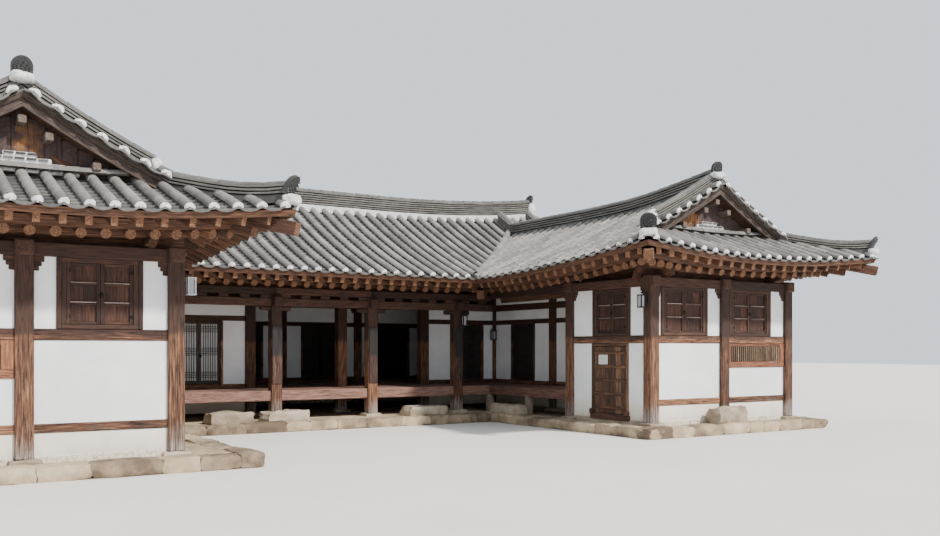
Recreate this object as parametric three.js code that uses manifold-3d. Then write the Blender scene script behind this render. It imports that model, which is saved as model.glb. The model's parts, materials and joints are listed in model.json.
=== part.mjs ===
// Hanok house: a U-shaped timber and plaster house under one tiled roof.
// Millimetres, +Z up. The court opens towards -Y, and the house is laid out from its middle line X = 0.
import * as THREE from 'three';
import { mergeVertices } from 'three/addons/utils/BufferGeometryUtils.js';
import Module from 'manifold-3d';

const wasm = await Module();
wasm.setup();

// Plan: wing lines and rows of posts, with post feet at Z = 0
const WING_CENTRE = 5940;
const WING_HALF = 1780;
const COURT = WING_CENTRE - WING_HALF;
const OUTER = WING_CENTRE + WING_HALF;
const RECESS = COURT + 1120;
const FRONT = 0;
const ROOM_END = 2200;
const RECESS_POST = 4200;
const PORCH = 5100;
const INNER = 6550;
const BACK = 10020;
const PORCH_POSTS = [-2900, -840, 1220, 3280];

// Timber sizes
const POST = 105;
const RAIL = 60;
const BEAM = 75;
const PURLIN = 80;
const SLAB = 40;
const JAMB = 55;
const GAP = 0.3;
const FINE = 0.05;

// Heights of the walls
const SLAB_FOOT = 20;
const LOWER_RAIL = [305, 415];
const MID_RAIL = [1415, 1555];
const HEAD = [2420, 2590];
const FLOOR = 510;
const FLOOR_THICK = 80;
const ROOM_FLOOR = 120;
const EDGE_BEAM = 200;
const SILL = [490, 600];
const DOOR_HEAD = [1885, 1990];
const BAND_BEAM = [2204, 2350];
const PORCH_BEAM = [2140, 2295];
const PORCH_PURLIN = 2420;
const INNER_PURLIN = 3300;

// Platform of stone
const GROUND = -220;
const PLATFORM = -40;
const PLATFORM_EDGE = 560;
const LEFT_COURT_EDGE = 1000;
const FOOT_STONE = 170;

// Roof: eaves lines, pitch, lift at the corners and rise of the ridges
const OVERHANG = 1050;
const EAVES = 2760;
const PITCH = 0.37;
const CURVE = 3.0e-5;
const LIFT = 310;
const LIFT_REACH = 4500;
const ROOF_THICK = 150;
const VERGE = 100;
const END_VERGE = 7060;
const WING_RISE = 200;
const END_RISE = 260;
const RISE_REACH = 4300;
const GABLE_SET = 230;
const RIDGE_HALF = 105;
const RIDGE_HIGH = 390;
const HIP_HIGH = 200;
const HIP_HALF = 85;
const CORNER_REACH = 130;
const CORNER_BEND = 2400;
const UPTURN = 110;
const RIDGE_SUNK = 330;
const RIDGE_LAP = 6;
const RIDGE_INSET = 20;
const RIDGE_STOP = 420;
const HIP_INSET = 70;
const VERGE_RIDGE = 110;
const FOOT_STOP = 260;

// Arched tiles at the ridge ends
const END_TILE = 125;
const END_FOOT = 130;
const END_RAISE = 78;
const END_THICK = 45;

// Gables
const VERGE_BOARD = [10, 60];
const VERGE_BOARD_HIGH = 250;
const PURLIN_END_HIGH = 200;
const GABLE_BOARD = 60;
const WING_GABLE_HALF = 1900;
const END_GABLE_HALF = 2600;
const PURLIN_END = 70;
const WING_PURLINS = [-800, 0, 800];
const END_PURLINS = [-1200, 0, 1200];
const TUCK = [60, 380];
const TUCK_CLEAR = 20;
const TUCK_LOW = 4;

// Rows of cover tiles, each a rib up the slope
const ROW = 275;
const RIB_HIGH = 95;
const RIB_CELLS = 6;
const ROOF_CELLS = 8;
const VERGE_ROW = 60;
const SKIRT_ROW = 130;
const CORNER_ROWS = [200, 100];

// Doors
const LEAF = 15;
const LEAF_GAP = 8;
const HINGE_GAP = 12;
const PIN = 8;
const PIN_TOP = 28;
const PLANK_LINE = 38;
const LEAF_LINE = 40;
const LEAVES_LAP = 4;
const PLANK_LEAF = 20;

const EAVE_COURT = COURT - OVERHANG;
const EAVE_OUTER = OUTER + OVERHANG;
const EAVE_FRONT = FRONT - OVERHANG;
const EAVE_PORCH = PORCH - OVERHANG;
const EAVE_BACK = BACK + OVERHANG;
const RIDGE_Y = (EAVE_PORCH + EAVE_BACK) / 2;
const WING_RUN = WING_HALF + OVERHANG;
const MIDDLE_RUN = RIDGE_Y - EAVE_PORCH;
const END_VALLEY = EAVE_PORCH + EAVE_OUTER - END_VERGE;
const SKY = 9000;
const LOW = -500;
const SKIRT_TUCK = 450;
const BEYOND = 900;
const MARGIN = 400;

const COLOURS = {
  timber: [0x5a3a28, 0.75],
  plaster: [0xe9e6de, 0.9],
  tile: [0x6f7072, 0.85],
  stone: [0xb5a890, 0.95],
  floor: [0x6b4a3c, 0.7],
  dark_wood: [0x2a211c, 0.8],
};

// Solids

function solid(geometry) {
  geometry.deleteAttribute('normal');
  geometry.deleteAttribute('uv');
  const merged = mergeVertices(geometry, 1e-3);
  return new wasm.Manifold(new wasm.Mesh({
    numProp: 3,
    vertProperties: new Float32Array(merged.attributes.position.array),
    triVerts: new Uint32Array(merged.index.array),
  }));
}

function block(x0, x1, y0, y1, z0, z1) {
  const geometry = new THREE.BoxGeometry(Math.abs(x1 - x0), Math.abs(y1 - y0), Math.abs(z1 - z0));
  geometry.translate((x0 + x1) / 2, (y0 + y1) / 2, (z0 + z1) / 2);
  return solid(geometry);
}

function pin(x, y, z0, z1) {
  const geometry = new THREE.CylinderGeometry(PIN, PIN, z1 - z0, 12);
  geometry.rotateX(Math.PI / 2);
  geometry.translate(x, y, (z0 + z1) / 2);
  return solid(geometry);
}

function prism(points, z0, z1) {
  const shape = new THREE.Shape(points.map(([x, y]) => new THREE.Vector2(x, y)));
  const geometry = new THREE.ExtrudeGeometry(shape, { depth: z1 - z0, bevelEnabled: false });
  geometry.translate(0, 0, z0);
  return solid(geometry);
}

const join = (list) => list.reduce((all, piece) => all.add(piece));
const cut = (piece, list) => list.reduce((rest, tool) => rest.subtract(tool), piece);

// A wall that runs along X or Y: u runs along it, w outwards from its middle, and side mirrors it

function alongX(side, line, out) {
  return (u0, u1, w0, w1, z0, z1) =>
    block(side * u0, side * u1, line + out * w0, line + out * w1, z0, z1);
}

function alongY(side, line, out) {
  return (u0, u1, w0, w1, z0, z1) =>
    block(side * (line + out * w0), side * (line + out * w1), u0, u1, z0, z1);
}

// Roof surfaces

const slope = (run) => EAVES + PITCH * run + CURVE * run * run;

function lift(x, y) {
  const corners = [[EAVE_COURT, EAVE_FRONT], [EAVE_OUTER, EAVE_FRONT], [EAVE_OUTER, EAVE_BACK]];
  const near = corners.map(([cx, cy]) => Math.max(0, 1 - Math.hypot(Math.abs(x) - cx, y - cy) / LIFT_REACH));
  return near.reduce((sum, part) => sum + LIFT * part ** 1.5, 0);
}

// In plan the eaves swing out towards each outer corner
function swung(x, y) {
  const corners = [
    [EAVE_COURT, EAVE_FRONT, -1, -1],
    [EAVE_OUTER, EAVE_FRONT, 1, -1],
    [EAVE_OUTER, EAVE_BACK, 1, 1],
  ];
  let [outX, outY] = [0, 0];
  for (const [cx, cy, dx, dy] of corners) {
    const near = Math.max(0, 1 - Math.hypot(Math.abs(x) - cx, y - cy) / CORNER_BEND) ** 2;
    outX += dx * near * CORNER_REACH;
    outY += dy * near * CORNER_REACH;
  }
  return [x + Math.sign(x) * outX, y + outY];
}

function wingRise(x, y) {
  const along = Math.max(0, 1 - (y - VERGE) / RISE_REACH);
  const across = Math.max(0, 1 - Math.abs(Math.abs(x) - WING_CENTRE) / WING_RUN);
  return WING_RISE * Math.min(along, 1.2) ** 2 * across;
}

function endRise(x, y) {
  const along = Math.max(0, 1 - (END_VERGE - Math.abs(x)) / RISE_REACH);
  const across = Math.max(0, 1 - Math.abs(y - RIDGE_Y) / MIDDLE_RUN);
  return END_RISE * Math.min(along, 1.2) ** 2 * across;
}

const courtSlope = (x, y) => slope(Math.abs(x) - EAVE_COURT) + lift(x, y) + wingRise(x, y);
const outerSlope = (x, y) => slope(EAVE_OUTER - Math.abs(x)) + lift(x, y) + wingRise(x, y);
const frontSkirt = (x, y) => slope(y - EAVE_FRONT) + lift(x, y);
const porchSlope = (x, y) => slope(y - EAVE_PORCH) + lift(x, y) + endRise(x, y);
const backSlope = (x, y) => slope(EAVE_BACK - y) + lift(x, y) + endRise(x, y);
const endSkirt = (x, y) => slope(EAVE_OUTER - Math.abs(x)) + lift(x, y);

function steps(from, to, count) {
  return Array.from({ length: count + 1 }, (_, i) => from + ((to - from) * i) / count);
}

// Grid lines from eaves to eaves, with one more line past each end where there is a margin
function grid(from, to, count, before, after) {
  const lines = steps(from, to, count);
  if (before) lines.unshift(from - before);
  if (after) lines.push(to + after);
  return lines;
}

// Grid lines along the crests of the ribs and the troughs between them, from one edge of the roof to another
function ribLines(from, to, rows, before, after) {
  const inside = rows.filter((row) => row - ROW / 2 > from && row + ROW / 2 < to);
  const troughs = inside.map((row, i) => (i ? (row + inside[i - 1]) / 2 : row - ROW / 2));
  const lines = inside.flatMap((row, i) => [troughs[i], row]).concat(inside.at(-1) + ROW / 2);
  const edges = grid(from, to, 1, before, after);
  const start = before ? 2 : 1;
  return [...edges.slice(0, start), ...lines, ...edges.slice(start)];
}

function ribAt(rows, place) {
  const near = Math.min(...rows.map((row) => Math.abs(place - row)));
  return near < 1 ? RIB_HIGH : 0;
}

const evenRows = (from, to) => steps(from, to, Math.round((to - from) / ROW));
const depthRows = Array.from({ length: 44 }, (_, i) => VERGE + VERGE_ROW + (i - 4) * ROW);
const skirtRows = evenRows(EAVE_COURT + SKIRT_ROW, EAVE_OUTER - SKIRT_ROW);
const cornerRows = evenRows(END_VERGE + CORNER_ROWS[0], EAVE_OUTER - CORNER_ROWS[1]);
const middleRows = [
  ...sided(-1, cornerRows),
  ...evenRows(VERGE_ROW - END_VERGE, END_VERGE - VERGE_ROW),
  ...cornerRows,
];

const acrossWing = (side, margin, cells = ROOF_CELLS) =>
  sided(side, grid(EAVE_COURT, EAVE_OUTER, cells, margin, margin));
const acrossMiddle = (margin, cells = ROOF_CELLS) => grid(EAVE_PORCH, EAVE_BACK, cells, margin, margin);

function sided(side, lines) {
  return side > 0 ? lines : lines.map((x) => -x).reverse();
}

// A closed solid under the surface height(x, y), over a rectangle
function under(xs, ys, height) {
  const positions = [];
  const faces = [];
  const columns = ys.length;
  const layer = xs.length * columns;
  for (const level of [1, 0]) {
    for (const x of xs) {
      for (const y of ys) positions.push(...swung(x, y), level ? height(x, y) : LOW);
    }
  }
  const quad = (a, b, c, d) => faces.push(a, b, c, a, c, d);
  for (let i = 0; i < xs.length - 1; i += 1) {
    for (let j = 0; j < columns - 1; j += 1) {
      const a = i * columns + j;
      quad(a, a + columns, a + columns + 1, a + 1);
      quad(layer + a, layer + a + 1, layer + a + columns + 1, layer + a + columns);
    }
    const near = i * columns;
    const far = near + columns - 1;
    quad(near, layer + near, layer + near + columns, near + columns);
    quad(far, far + columns, layer + far + columns, layer + far);
  }
  const last = (xs.length - 1) * columns;
  for (let j = 0; j < columns - 1; j += 1) {
    quad(j, j + 1, layer + j + 1, layer + j);
    quad(last + j, layer + last + j, layer + last + j + 1, last + j + 1);
  }
  const geometry = new THREE.BufferGeometry();
  geometry.setAttribute('position', new THREE.Float32BufferAttribute(positions, 3));
  geometry.setIndex(faces);
  return solid(geometry);
}

// The two main slopes of a wing, lowered by drop and reaching margin past the eaves
function wingMain(side, drop, margin, ribbed) {
  const xs = acrossWing(side, margin, ribbed ? RIB_CELLS : undefined);
  const ys = ribbed
    ? ribLines(EAVE_FRONT, RIDGE_Y, depthRows, margin, 0)
    : grid(EAVE_FRONT, RIDGE_Y, 11, margin, 0);
  const lowered = (surface) => (x, y) => surface(x, y) - drop + (ribbed ? ribAt(depthRows, y) : 0);
  return under(xs, ys, lowered(courtSlope)).intersect(under(xs, ys, lowered(outerSlope)));
}

function wingSkirt(side, drop, margin, ribbed) {
  const xs = ribbed
    ? sided(side, ribLines(EAVE_COURT, EAVE_OUTER, skirtRows, margin, margin))
    : acrossWing(side, margin);
  const ys = grid(EAVE_FRONT, VERGE + SKIRT_TUCK, 3, margin, 0);
  return under(xs, ys, (x, y) => frontSkirt(x, y) - drop + (ribbed ? ribAt(skirtRows, Math.abs(x)) : 0));
}

function wingRoof(side, drop, margin, ribbed) {
  const outside = side * (EAVE_OUTER + BEYOND);
  const from = VERGE + Math.min(drop, 0);
  const behind = block(side * (EAVE_COURT - BEYOND), outside, from, EAVE_BACK + BEYOND, LOW - 10, SKY);
  const beyond = block(side * END_VERGE, outside, END_VALLEY, EAVE_BACK + 2 * BEYOND, LOW - 20, SKY + 10);
  const limits = wingSkirt(side, drop, margin, ribbed).add(behind).subtract(beyond);
  return wingMain(side, drop, margin, ribbed).intersect(limits);
}

function middleMain(drop, margin, ribbed) {
  const xs = ribbed
    ? ribLines(-EAVE_OUTER, EAVE_OUTER, middleRows, margin, margin)
    : grid(-EAVE_OUTER, EAVE_OUTER, 18, margin, margin);
  const ys = acrossMiddle(margin, ribbed ? RIB_CELLS : undefined);
  const lowered = (surface) => (x, y) => surface(x, y) - drop + (ribbed ? ribAt(middleRows, x) : 0);
  return under(xs, ys, lowered(porchSlope)).intersect(under(xs, ys, lowered(backSlope)));
}

function middleSkirt(side, drop, margin, ribbed) {
  const xs = sided(side, grid(END_VERGE - SKIRT_TUCK, EAVE_OUTER, 3, 0, margin));
  const ys = ribbed ? ribLines(EAVE_PORCH, EAVE_BACK, depthRows, margin, margin) : acrossMiddle(margin);
  return under(xs, ys, (x, y) => endSkirt(x, y) - drop + (ribbed ? ribAt(depthRows, y) : 0));
}

function middleRoof(drop, margin, ribbed) {
  const half = END_VERGE - Math.min(drop, 0);
  const between = block(-half, half, EAVE_PORCH - BEYOND, EAVE_BACK + BEYOND, LOW - 10, SKY);
  const limits = between.add(middleSkirt(1, drop, margin, ribbed)).add(middleSkirt(-1, drop, margin, ribbed));
  return middleMain(drop, margin, ribbed).intersect(limits);
}

function wholeRoof(drop, margin, ribbed) {
  const wings = [-1, 1].map((side) => wingRoof(side, drop, margin, ribbed));
  return join([...wings, middleRoof(drop, margin, ribbed)]);
}

// The skirt runs on below the verge as far as the gable wall
function tuckedSkirt(side) {
  const [x0, x1] = [side * (WING_CENTRE - WING_HALF), side * (WING_CENTRE + WING_HALF)];
  const strip = block(x0, x1, VERGE - TUCK[0], VERGE + TUCK[1], LOW, SKY);
  return wingSkirt(side, TUCK_LOW, 0).subtract(wingSkirt(side, ROOF_THICK, MARGIN)).intersect(strip)
    .intersect(wingMain(side, TUCK_CLEAR, 0));
}

function tuckedEnd(side) {
  const [x0, x1] = [side * (END_VERGE - TUCK[1]), side * (END_VERGE + TUCK[0])];
  const strip = block(x0, x1, RIDGE_Y - END_GABLE_HALF, RIDGE_Y + END_GABLE_HALF, LOW, SKY);
  return middleSkirt(side, TUCK_LOW, 0).subtract(middleSkirt(side, ROOF_THICK, MARGIN)).intersect(strip)
    .intersect(middleMain(TUCK_CLEAR, 0));
}

function roofShell() {
  const shell = wholeRoof(0, 0, true).subtract(wholeRoof(ROOF_THICK, MARGIN)).simplify(FINE);
  return join([shell, tuckedSkirt(-1), tuckedSkirt(1), tuckedEnd(-1), tuckedEnd(1)]);
}

// The middle roof is parted from the wings along the valleys
function middlePlan(shift) {
  const valleyTop = EAVE_PORCH + WING_RUN;
  const half = [
    [EAVE_COURT, EAVE_PORCH],
    [WING_CENTRE, valleyTop],
    [END_VERGE, END_VALLEY],
    [EAVE_OUTER + BEYOND, END_VALLEY],
  ];
  const right = half.map(([x, y]) => [x, y + shift]);
  const left = right.map(([x, y]) => [-x, y]).reverse();
  const far = EAVE_BACK + BEYOND;
  const court = EAVE_COURT - 5;
  const inner = [[-court, EAVE_PORCH - BEYOND], [court, EAVE_PORCH - BEYOND]];
  const behind = [[EAVE_OUTER + BEYOND, far], [-EAVE_OUTER - BEYOND, far]];
  return prism([...left, ...inner, ...right, ...behind], LOW, SKY);
}

// What stands below the roof keeps clear of the slopes and of the tucked skirts
function underRoof() {
  const drop = ROOF_THICK + GAP;
  const tucked = [-1, 1].flatMap((side) => [
    block(side * EAVE_COURT, side * EAVE_OUTER, VERGE - TUCK[0] - 10, VERGE + TUCK[1] + 10, LOW, SKY)
      .subtract(wingSkirt(side, drop, 0)),
    block(side * (END_VERGE - TUCK[1] - 10), side * (END_VERGE + TUCK[0] + 10), EAVE_PORCH, EAVE_BACK, LOW, SKY)
      .subtract(middleSkirt(side, drop, 0)),
  ]);
  return cut(wholeRoof(drop, 0), tucked);
}

const roofTop = wholeRoof(-GAP, MARGIN, true);
const roofUnder = underRoof();
const shell = roofShell();
const middleRegion = middlePlan(0);
const cutRegion = middlePlan(-GAP);

// Ridges stand on the tiles as bands that follow a line in plan

function topAt(x, y) {
  const wing = Math.min(courtSlope(x, y), outerSlope(x, y), y < VERGE ? frontSkirt(x, y) : SKY);
  const middle = Math.min(porchSlope(x, y), backSlope(x, y), Math.abs(x) > END_VERGE ? endSkirt(x, y) : SKY);
  return y < EAVE_PORCH ? wing : Math.max(y < RIDGE_Y ? wing : LOW, middle);
}

function band(points, high, half) {
  const pieces = [];
  for (let i = 0; i < points.length - 1; i += 1) {
    const [start, end] = [points[i], points[i + 1]];
    const dx = end[0] - start[0];
    const dy = end[1] - start[1];
    const length = Math.hypot(dx, dy);
    const geometry = new THREE.BoxGeometry(length, half * 2, 1);
    const position = geometry.attributes.position;
    for (let k = 0; k < position.count; k += 1) {
      const point = position.getX(k) > 0 ? end : start;
      const level = position.getZ(k) > 0 ? point[2] + high : point[2] - RIDGE_SUNK;
      const reach = position.getX(k) > 0 ? RIDGE_LAP : -RIDGE_LAP;
      const across = position.getY(k);
      position.setXYZ(
        k,
        point[0] + (dx * reach - dy * across) / length,
        point[1] + (dy * reach + dx * across) / length,
        level,
      );
    }
    pieces.push(solid(geometry));
  }
  return join(pieces);
}

function ridgeLine(from, to, count, extra) {
  return steps(0, 1, count).map((t) => {
    const x = from[0] + (to[0] - from[0]) * t;
    const y = from[1] + (to[1] - from[1]) * t;
    return [...swung(x, y), topAt(x, y) + (extra ? extra(t) : 0)];
  });
}

// An arched tile stands across the end of a ridge and faces along it
function endTile([x, y, z], [fromX, fromY], high) {
  const arch = steps(0, Math.PI, 6).map((angle) => [END_TILE * Math.cos(angle), END_TILE * Math.sin(angle)]);
  const outline = [[END_TILE, -END_FOOT], ...arch, [-END_TILE, -END_FOOT]];
  const turn = (Math.atan2(y - fromY, x - fromX) * 180) / Math.PI - 90;
  return prism(outline, -END_THICK / 2, END_THICK / 2)
    .rotate([90, 0, turn])
    .translate([x, y, z + high + END_RAISE]);
}

function hipRidge(side, corner, inner, top) {
  const upturn = (t) => UPTURN * (Math.max(0, t - 0.5) / 0.5) ** 2;
  const down = ridgeLine([side * top[0], top[1]], [side * inner[0], inner[1]], 4);
  const out = ridgeLine([side * inner[0], inner[1]], [side * corner[0], corner[1]], 5, upturn);
  return band([...down, ...out.slice(1)], HIP_HIGH, HIP_HALF).add(endTile(out.at(-1), out.at(-2), HIP_HIGH));
}

function wingRidge(side) {
  const run = VERGE - EAVE_FRONT;
  const x = side * WING_CENTRE;
  const line = ridgeLine([x, VERGE + RIDGE_INSET], [x, RIDGE_Y - RIDGE_STOP], 8);
  const main = band(line, RIDGE_HIGH, RIDGE_HALF).add(endTile(line[0], line[1], RIDGE_HIGH));
  const hips = [EAVE_COURT, EAVE_OUTER].map((eave) => {
    const inward = Math.sign(WING_CENTRE - eave);
    const corner = [eave + inward * HIP_INSET, EAVE_FRONT + HIP_INSET];
    const inner = [eave + inward * (run + VERGE_RIDGE), VERGE + VERGE_RIDGE];
    return hipRidge(side, corner, inner, [WING_CENTRE, VERGE + VERGE_RIDGE]);
  });
  return join([main, ...hips]).subtract(roofTop);
}

function middleRidge() {
  const end = END_VERGE - RIDGE_INSET;
  const line = ridgeLine([-end, RIDGE_Y], [end, RIDGE_Y], 18);
  const ends = [endTile(line[0], line[1], RIDGE_HIGH), endTile(line.at(-1), line.at(-2), RIDGE_HIGH)];
  const run = EAVE_OUTER - END_VERGE;
  const x = END_VERGE - VERGE_RIDGE;
  const corner = [EAVE_OUTER - HIP_INSET, EAVE_BACK - HIP_INSET];
  const hips = [-1, 1].flatMap((side) => {
    const foot = ridgeLine([side * x, RIDGE_Y], [side * x, EAVE_PORCH + run + FOOT_STOP], 4);
    return [
      hipRidge(side, corner, [x, EAVE_BACK - run - VERGE_RIDGE], [x, RIDGE_Y]),
      band(foot, HIP_HIGH, HIP_HALF),
    ];
  });
  return join([band(line, RIDGE_HIGH, RIDGE_HALF), ...ends, ...hips]).subtract(roofTop);
}

// Gables: boards under the verge, a boarded wall behind them and three purlin ends between

function wingGable(side) {
  const centre = side * WING_CENTRE;
  const belowMain = wingMain(side, ROOF_THICK + GAP, 0);
  const face = (near, far, half, shift = 0) => {
    const middle = centre + shift;
    return block(middle - half, middle + half, VERGE + near, VERGE + far, LOW, SKY).intersect(belowMain);
  };
  const belowBoards = wingMain(side, ROOF_THICK + VERGE_BOARD_HIGH, MARGIN);
  const verge = face(...VERGE_BOARD, WING_GABLE_HALF).subtract(belowBoards);
  const belowEnds = wingMain(side, ROOF_THICK + PURLIN_END_HIGH, MARGIN);
  const wall = face(GABLE_SET, GABLE_SET + GABLE_BOARD, WING_GABLE_HALF);
  const ends = WING_PURLINS.map((x) => face(30, GABLE_SET + 30, PURLIN_END, x).subtract(belowEnds));
  return join([verge, wall, ...ends]).subtract(wingSkirt(side, TUCK_LOW - GAP, MARGIN));
}

function endGable(side) {
  const belowMain = middleMain(ROOF_THICK + GAP, 0);
  const face = (near, far, half, shift = 0) => {
    const [x0, x1] = [side * (END_VERGE - near), side * (END_VERGE - far)];
    return block(x0, x1, RIDGE_Y + shift - half, RIDGE_Y + shift + half, LOW, SKY).intersect(belowMain);
  };
  const belowBoards = middleMain(ROOF_THICK + VERGE_BOARD_HIGH, MARGIN);
  const verge = face(...VERGE_BOARD, END_GABLE_HALF).subtract(belowBoards);
  const belowEnds = middleMain(ROOF_THICK + PURLIN_END_HIGH, MARGIN);
  const wall = face(GABLE_SET, GABLE_SET + GABLE_BOARD, END_GABLE_HALF);
  const ends = END_PURLINS.map((y) => face(30, GABLE_SET + 30, PURLIN_END, y).subtract(belowEnds));
  return join([verge, wall, ...ends]).subtract(middleSkirt(side, TUCK_LOW - GAP, MARGIN))
    .subtract(wingRoof(side, -RIB_HIGH - GAP, 0));
}

// Walls: a timber frame of posts, rails and opening frames, slotted for one slab of plaster

const TOP = 5200;
const SLAB_LAP = 25;
const PAST = 5;
const OUTER_ROWS = [ROOM_END, RECESS_POST, INNER, 8300];
const fullPost = (place, u, top) => place(u - POST, u + POST, -POST, POST, 0, top ?? TOP);
const rail = (place, u0, u1, [z0, z1]) => place(u0, u1, -RAIL, RAIL, z0, z1);

function openingFrame(place, { u0, u1, z0, z1 }) {
  const outside = place(u0 - JAMB, u1 + JAMB, -RAIL, RAIL, z0 - JAMB, z1 + JAMB);
  return outside.subtract(place(u0, u1, -RAIL - PAST, RAIL + PAST, z0, z1));
}

function slabHole(place, { u0, u1, z0, z1 }, lap) {
  return place(u0 - lap, u1 + lap, -SLAB - PAST, SLAB + PAST, z0 - lap, z1 + lap);
}

function clearHole(place, { u0, u1, z0, z1 }) {
  return place(u0, u1, -POST - PAST, POST + PAST, z0, z1);
}

function slabOf(place, u0, u1, z1, holes) {
  return cut(place(u0, u1, -SLAB, SLAB, SLAB_FOOT, z1), holes.map((hole) => slabHole(place, hole, SLAB_LAP)));
}

// The slot is wider than the slab by the gap on every face
function slotOf(place, u0, u1, z1, holes) {
  const slot = place(u0 - GAP, u1 + GAP, -SLAB - GAP, SLAB + GAP, SLAB_FOOT - GAP, z1 + GAP);
  return cut(slot, holes.map((hole) => slabHole(place, hole, SLAB_LAP - GAP)));
}

const nodes = [];
const roofed = (piece) => piece.intersect(roofUnder);

function add(name, look, piece) {
  nodes.push([name, look, piece]);
}

function wall(name, place, spec) {
  const { posts, u0, u1, slab, rails, holes } = spec;
  const slabTop = HEAD[0];
  const timber = [
    ...posts.map((u) => fullPost(place, u)),
    ...rails.map((item) => rail(place, item[0], item[1], item[2])),
    ...holes.map((hole) => openingFrame(place, hole)),
    place(u0, u1, -BEAM, BEAM, slabTop, HEAD[1]),
    place(u0, u1, -PURLIN, PURLIN, HEAD[1] - PAST, TOP),
  ];
  const slot = slotOf(place, slab[0], slab[1], slabTop, holes);
  const openings = holes.map((hole) => clearHole(place, hole));
  add(`${name}_frame`, 'timber', cut(roofed(join(timber)), [slot, ...openings]));
  add(`${name}_wall`, 'plaster', slabOf(place, slab[0], slab[1], slabTop, holes));
}

// Front of a wing: a window in each bay, and a barred vent below the outer one
const WINDOW_Z = [1610, 2365];
const VENT = { u0: 6115, u1: 7225, z0: 1080, z1: 1360 };
const WINDOW_FACES = [-10, 35];
const FRONT_WINDOWS = {
  left: [[4625, 5530], [6350, 7310]],
  right: [[4400, 5450], [6130, 7175]],
};

function wingFront(side, label) {
  const place = alongX(side, FRONT, -1);
  const holes = FRONT_WINDOWS[label].map(([u0, u1]) => ({ u0, u1, z0: WINDOW_Z[0], z1: WINDOW_Z[1] }));
  holes.push(VENT);
  wall(`${label}_front`, place, {
    posts: [COURT, WING_CENTRE, OUTER],
    u0: COURT, u1: OUTER,
    slab: [COURT, OUTER],
    rails: [[COURT, OUTER, LOWER_RAIL], [COURT, OUTER, MID_RAIL]],
    holes,
  });
  FRONT_WINDOWS[label].forEach(([u0, u1], index) => {
    window(`${label}_front_${index ? 'outer' : 'inner'}_window`, place, u0, u1);
  });
}

function window(name, place, u0, u1) {
  add(name, 'timber', place(u0 + GAP, u1 - GAP, ...WINDOW_FACES, WINDOW_Z[0] + GAP, WINDOW_Z[1] - GAP));
}

// Court side of a wing's front room
const COURT_WINDOW = [540, 1470];
const PLANK_DOOR = { u0: 590, u1: 1500, z0: 110, z1: 1360 };
const SIDE_START = POST + GAP;

function wingCourt(side, label) {
  const place = alongY(side, COURT, -1);
  const holes = [{ u0: COURT_WINDOW[0], u1: COURT_WINDOW[1], z0: WINDOW_Z[0], z1: WINDOW_Z[1] }];
  if (side > 0) holes.push(PLANK_DOOR);
  const lower = side > 0 ? [] : [[SIDE_START, ROOM_END, LOWER_RAIL]];
  wall(`${label}_court`, place, {
    posts: [ROOM_END],
    u0: SIDE_START, u1: PORCH - PURLIN - GAP,
    slab: [SIDE_START, ROOM_END],
    rails: [[SIDE_START, ROOM_END, MID_RAIL], ...lower],
    holes,
  });
  window(`${label}_court_window`, place, ...COURT_WINDOW);
}

// Recessed wall of a wing, behind the strip of floor, with its return to the front room
const RECESS_DOOR = { u0: 4940, u1: 5740, z0: 600, z1: 1870 };
const SHUT_DOOR_FACES = [25, 55];
const STUD_CLEAR = 20;

function wingRecess(side, label) {
  const place = alongY(side, RECESS, -1);
  const back = alongX(side, ROOM_END, 1);
  const start = COURT + POST + GAP;
  const end = INNER;
  const slabTop = INNER_PURLIN;
  const rails = (at, u0, u1) => [SILL, DOOR_HEAD, BAND_BEAM].map((heights) => rail(at, u0, u1, heights));
  const timber = [
    fullPost(place, ROOM_END), fullPost(place, RECESS_POST), fullPost(place, end),
    ...rails(place, ROOM_END, end),
    place(ROOM_END, end, -PURLIN, PURLIN, INNER_PURLIN, TOP),
    openingFrame(place, RECESS_DOOR),
  ];
  const slabStart = start + POST - STUD_CLEAR;
  const returnSlot = (top) => slotOf(back, slabStart, RECESS, top, []);
  const slots = [slotOf(place, ROOM_END - SLAB, end, slabTop, [RECESS_DOOR]), clearHole(place, RECESS_DOOR)];
  add(`${label}_recess_frame`, 'timber', cut(roofed(join(timber)), [...slots, returnSlot(slabTop)]));
  const stud = back(start, start + POST, -RAIL, RAIL, SILL[0], TOP);
  const returnRails = rails(back, start, RECESS - POST - GAP);
  add(`${label}_return_frame`, 'timber', cut(roofed(join([stud, ...returnRails])), [returnSlot(TOP)]));
  const slabs = [
    slabOf(place, ROOM_END - SLAB, end, slabTop, [RECESS_DOOR]),
    slabOf(back, slabStart, RECESS, slabTop, []),
    back(slabStart, RECESS - POST - GAP, -SLAB, SLAB, SLAB_FOOT, TOP),
  ];
  add(`${label}_recess_wall`, 'plaster', roofed(join(slabs)));
}

function wingOuter(side, label) {
  const place = alongY(side, OUTER, 1);
  const end = BACK - POST - GAP;
  wall(`${label}_outer`, place, {
    posts: OUTER_ROWS,
    u0: SIDE_START, u1: end,
    slab: [SIDE_START, end],
    rails: [[SIDE_START, end, LOWER_RAIL], [SIDE_START, end, MID_RAIL]],
    holes: [],
  });
}

// Back of the house: plain bays, with boarded double doors behind the hall
const BACK_POSTS = [-OUTER, -RECESS, ...PORCH_POSTS, RECESS, OUTER];
const HALL_BAYS = [190, 2250, 4280];
const BACK_DOOR_HALF = 480;
const BACK_DOOR_FACES = [-15, 25];
const BOARD_DOOR_Z = { z0: 600, z1: 1870 };

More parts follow.
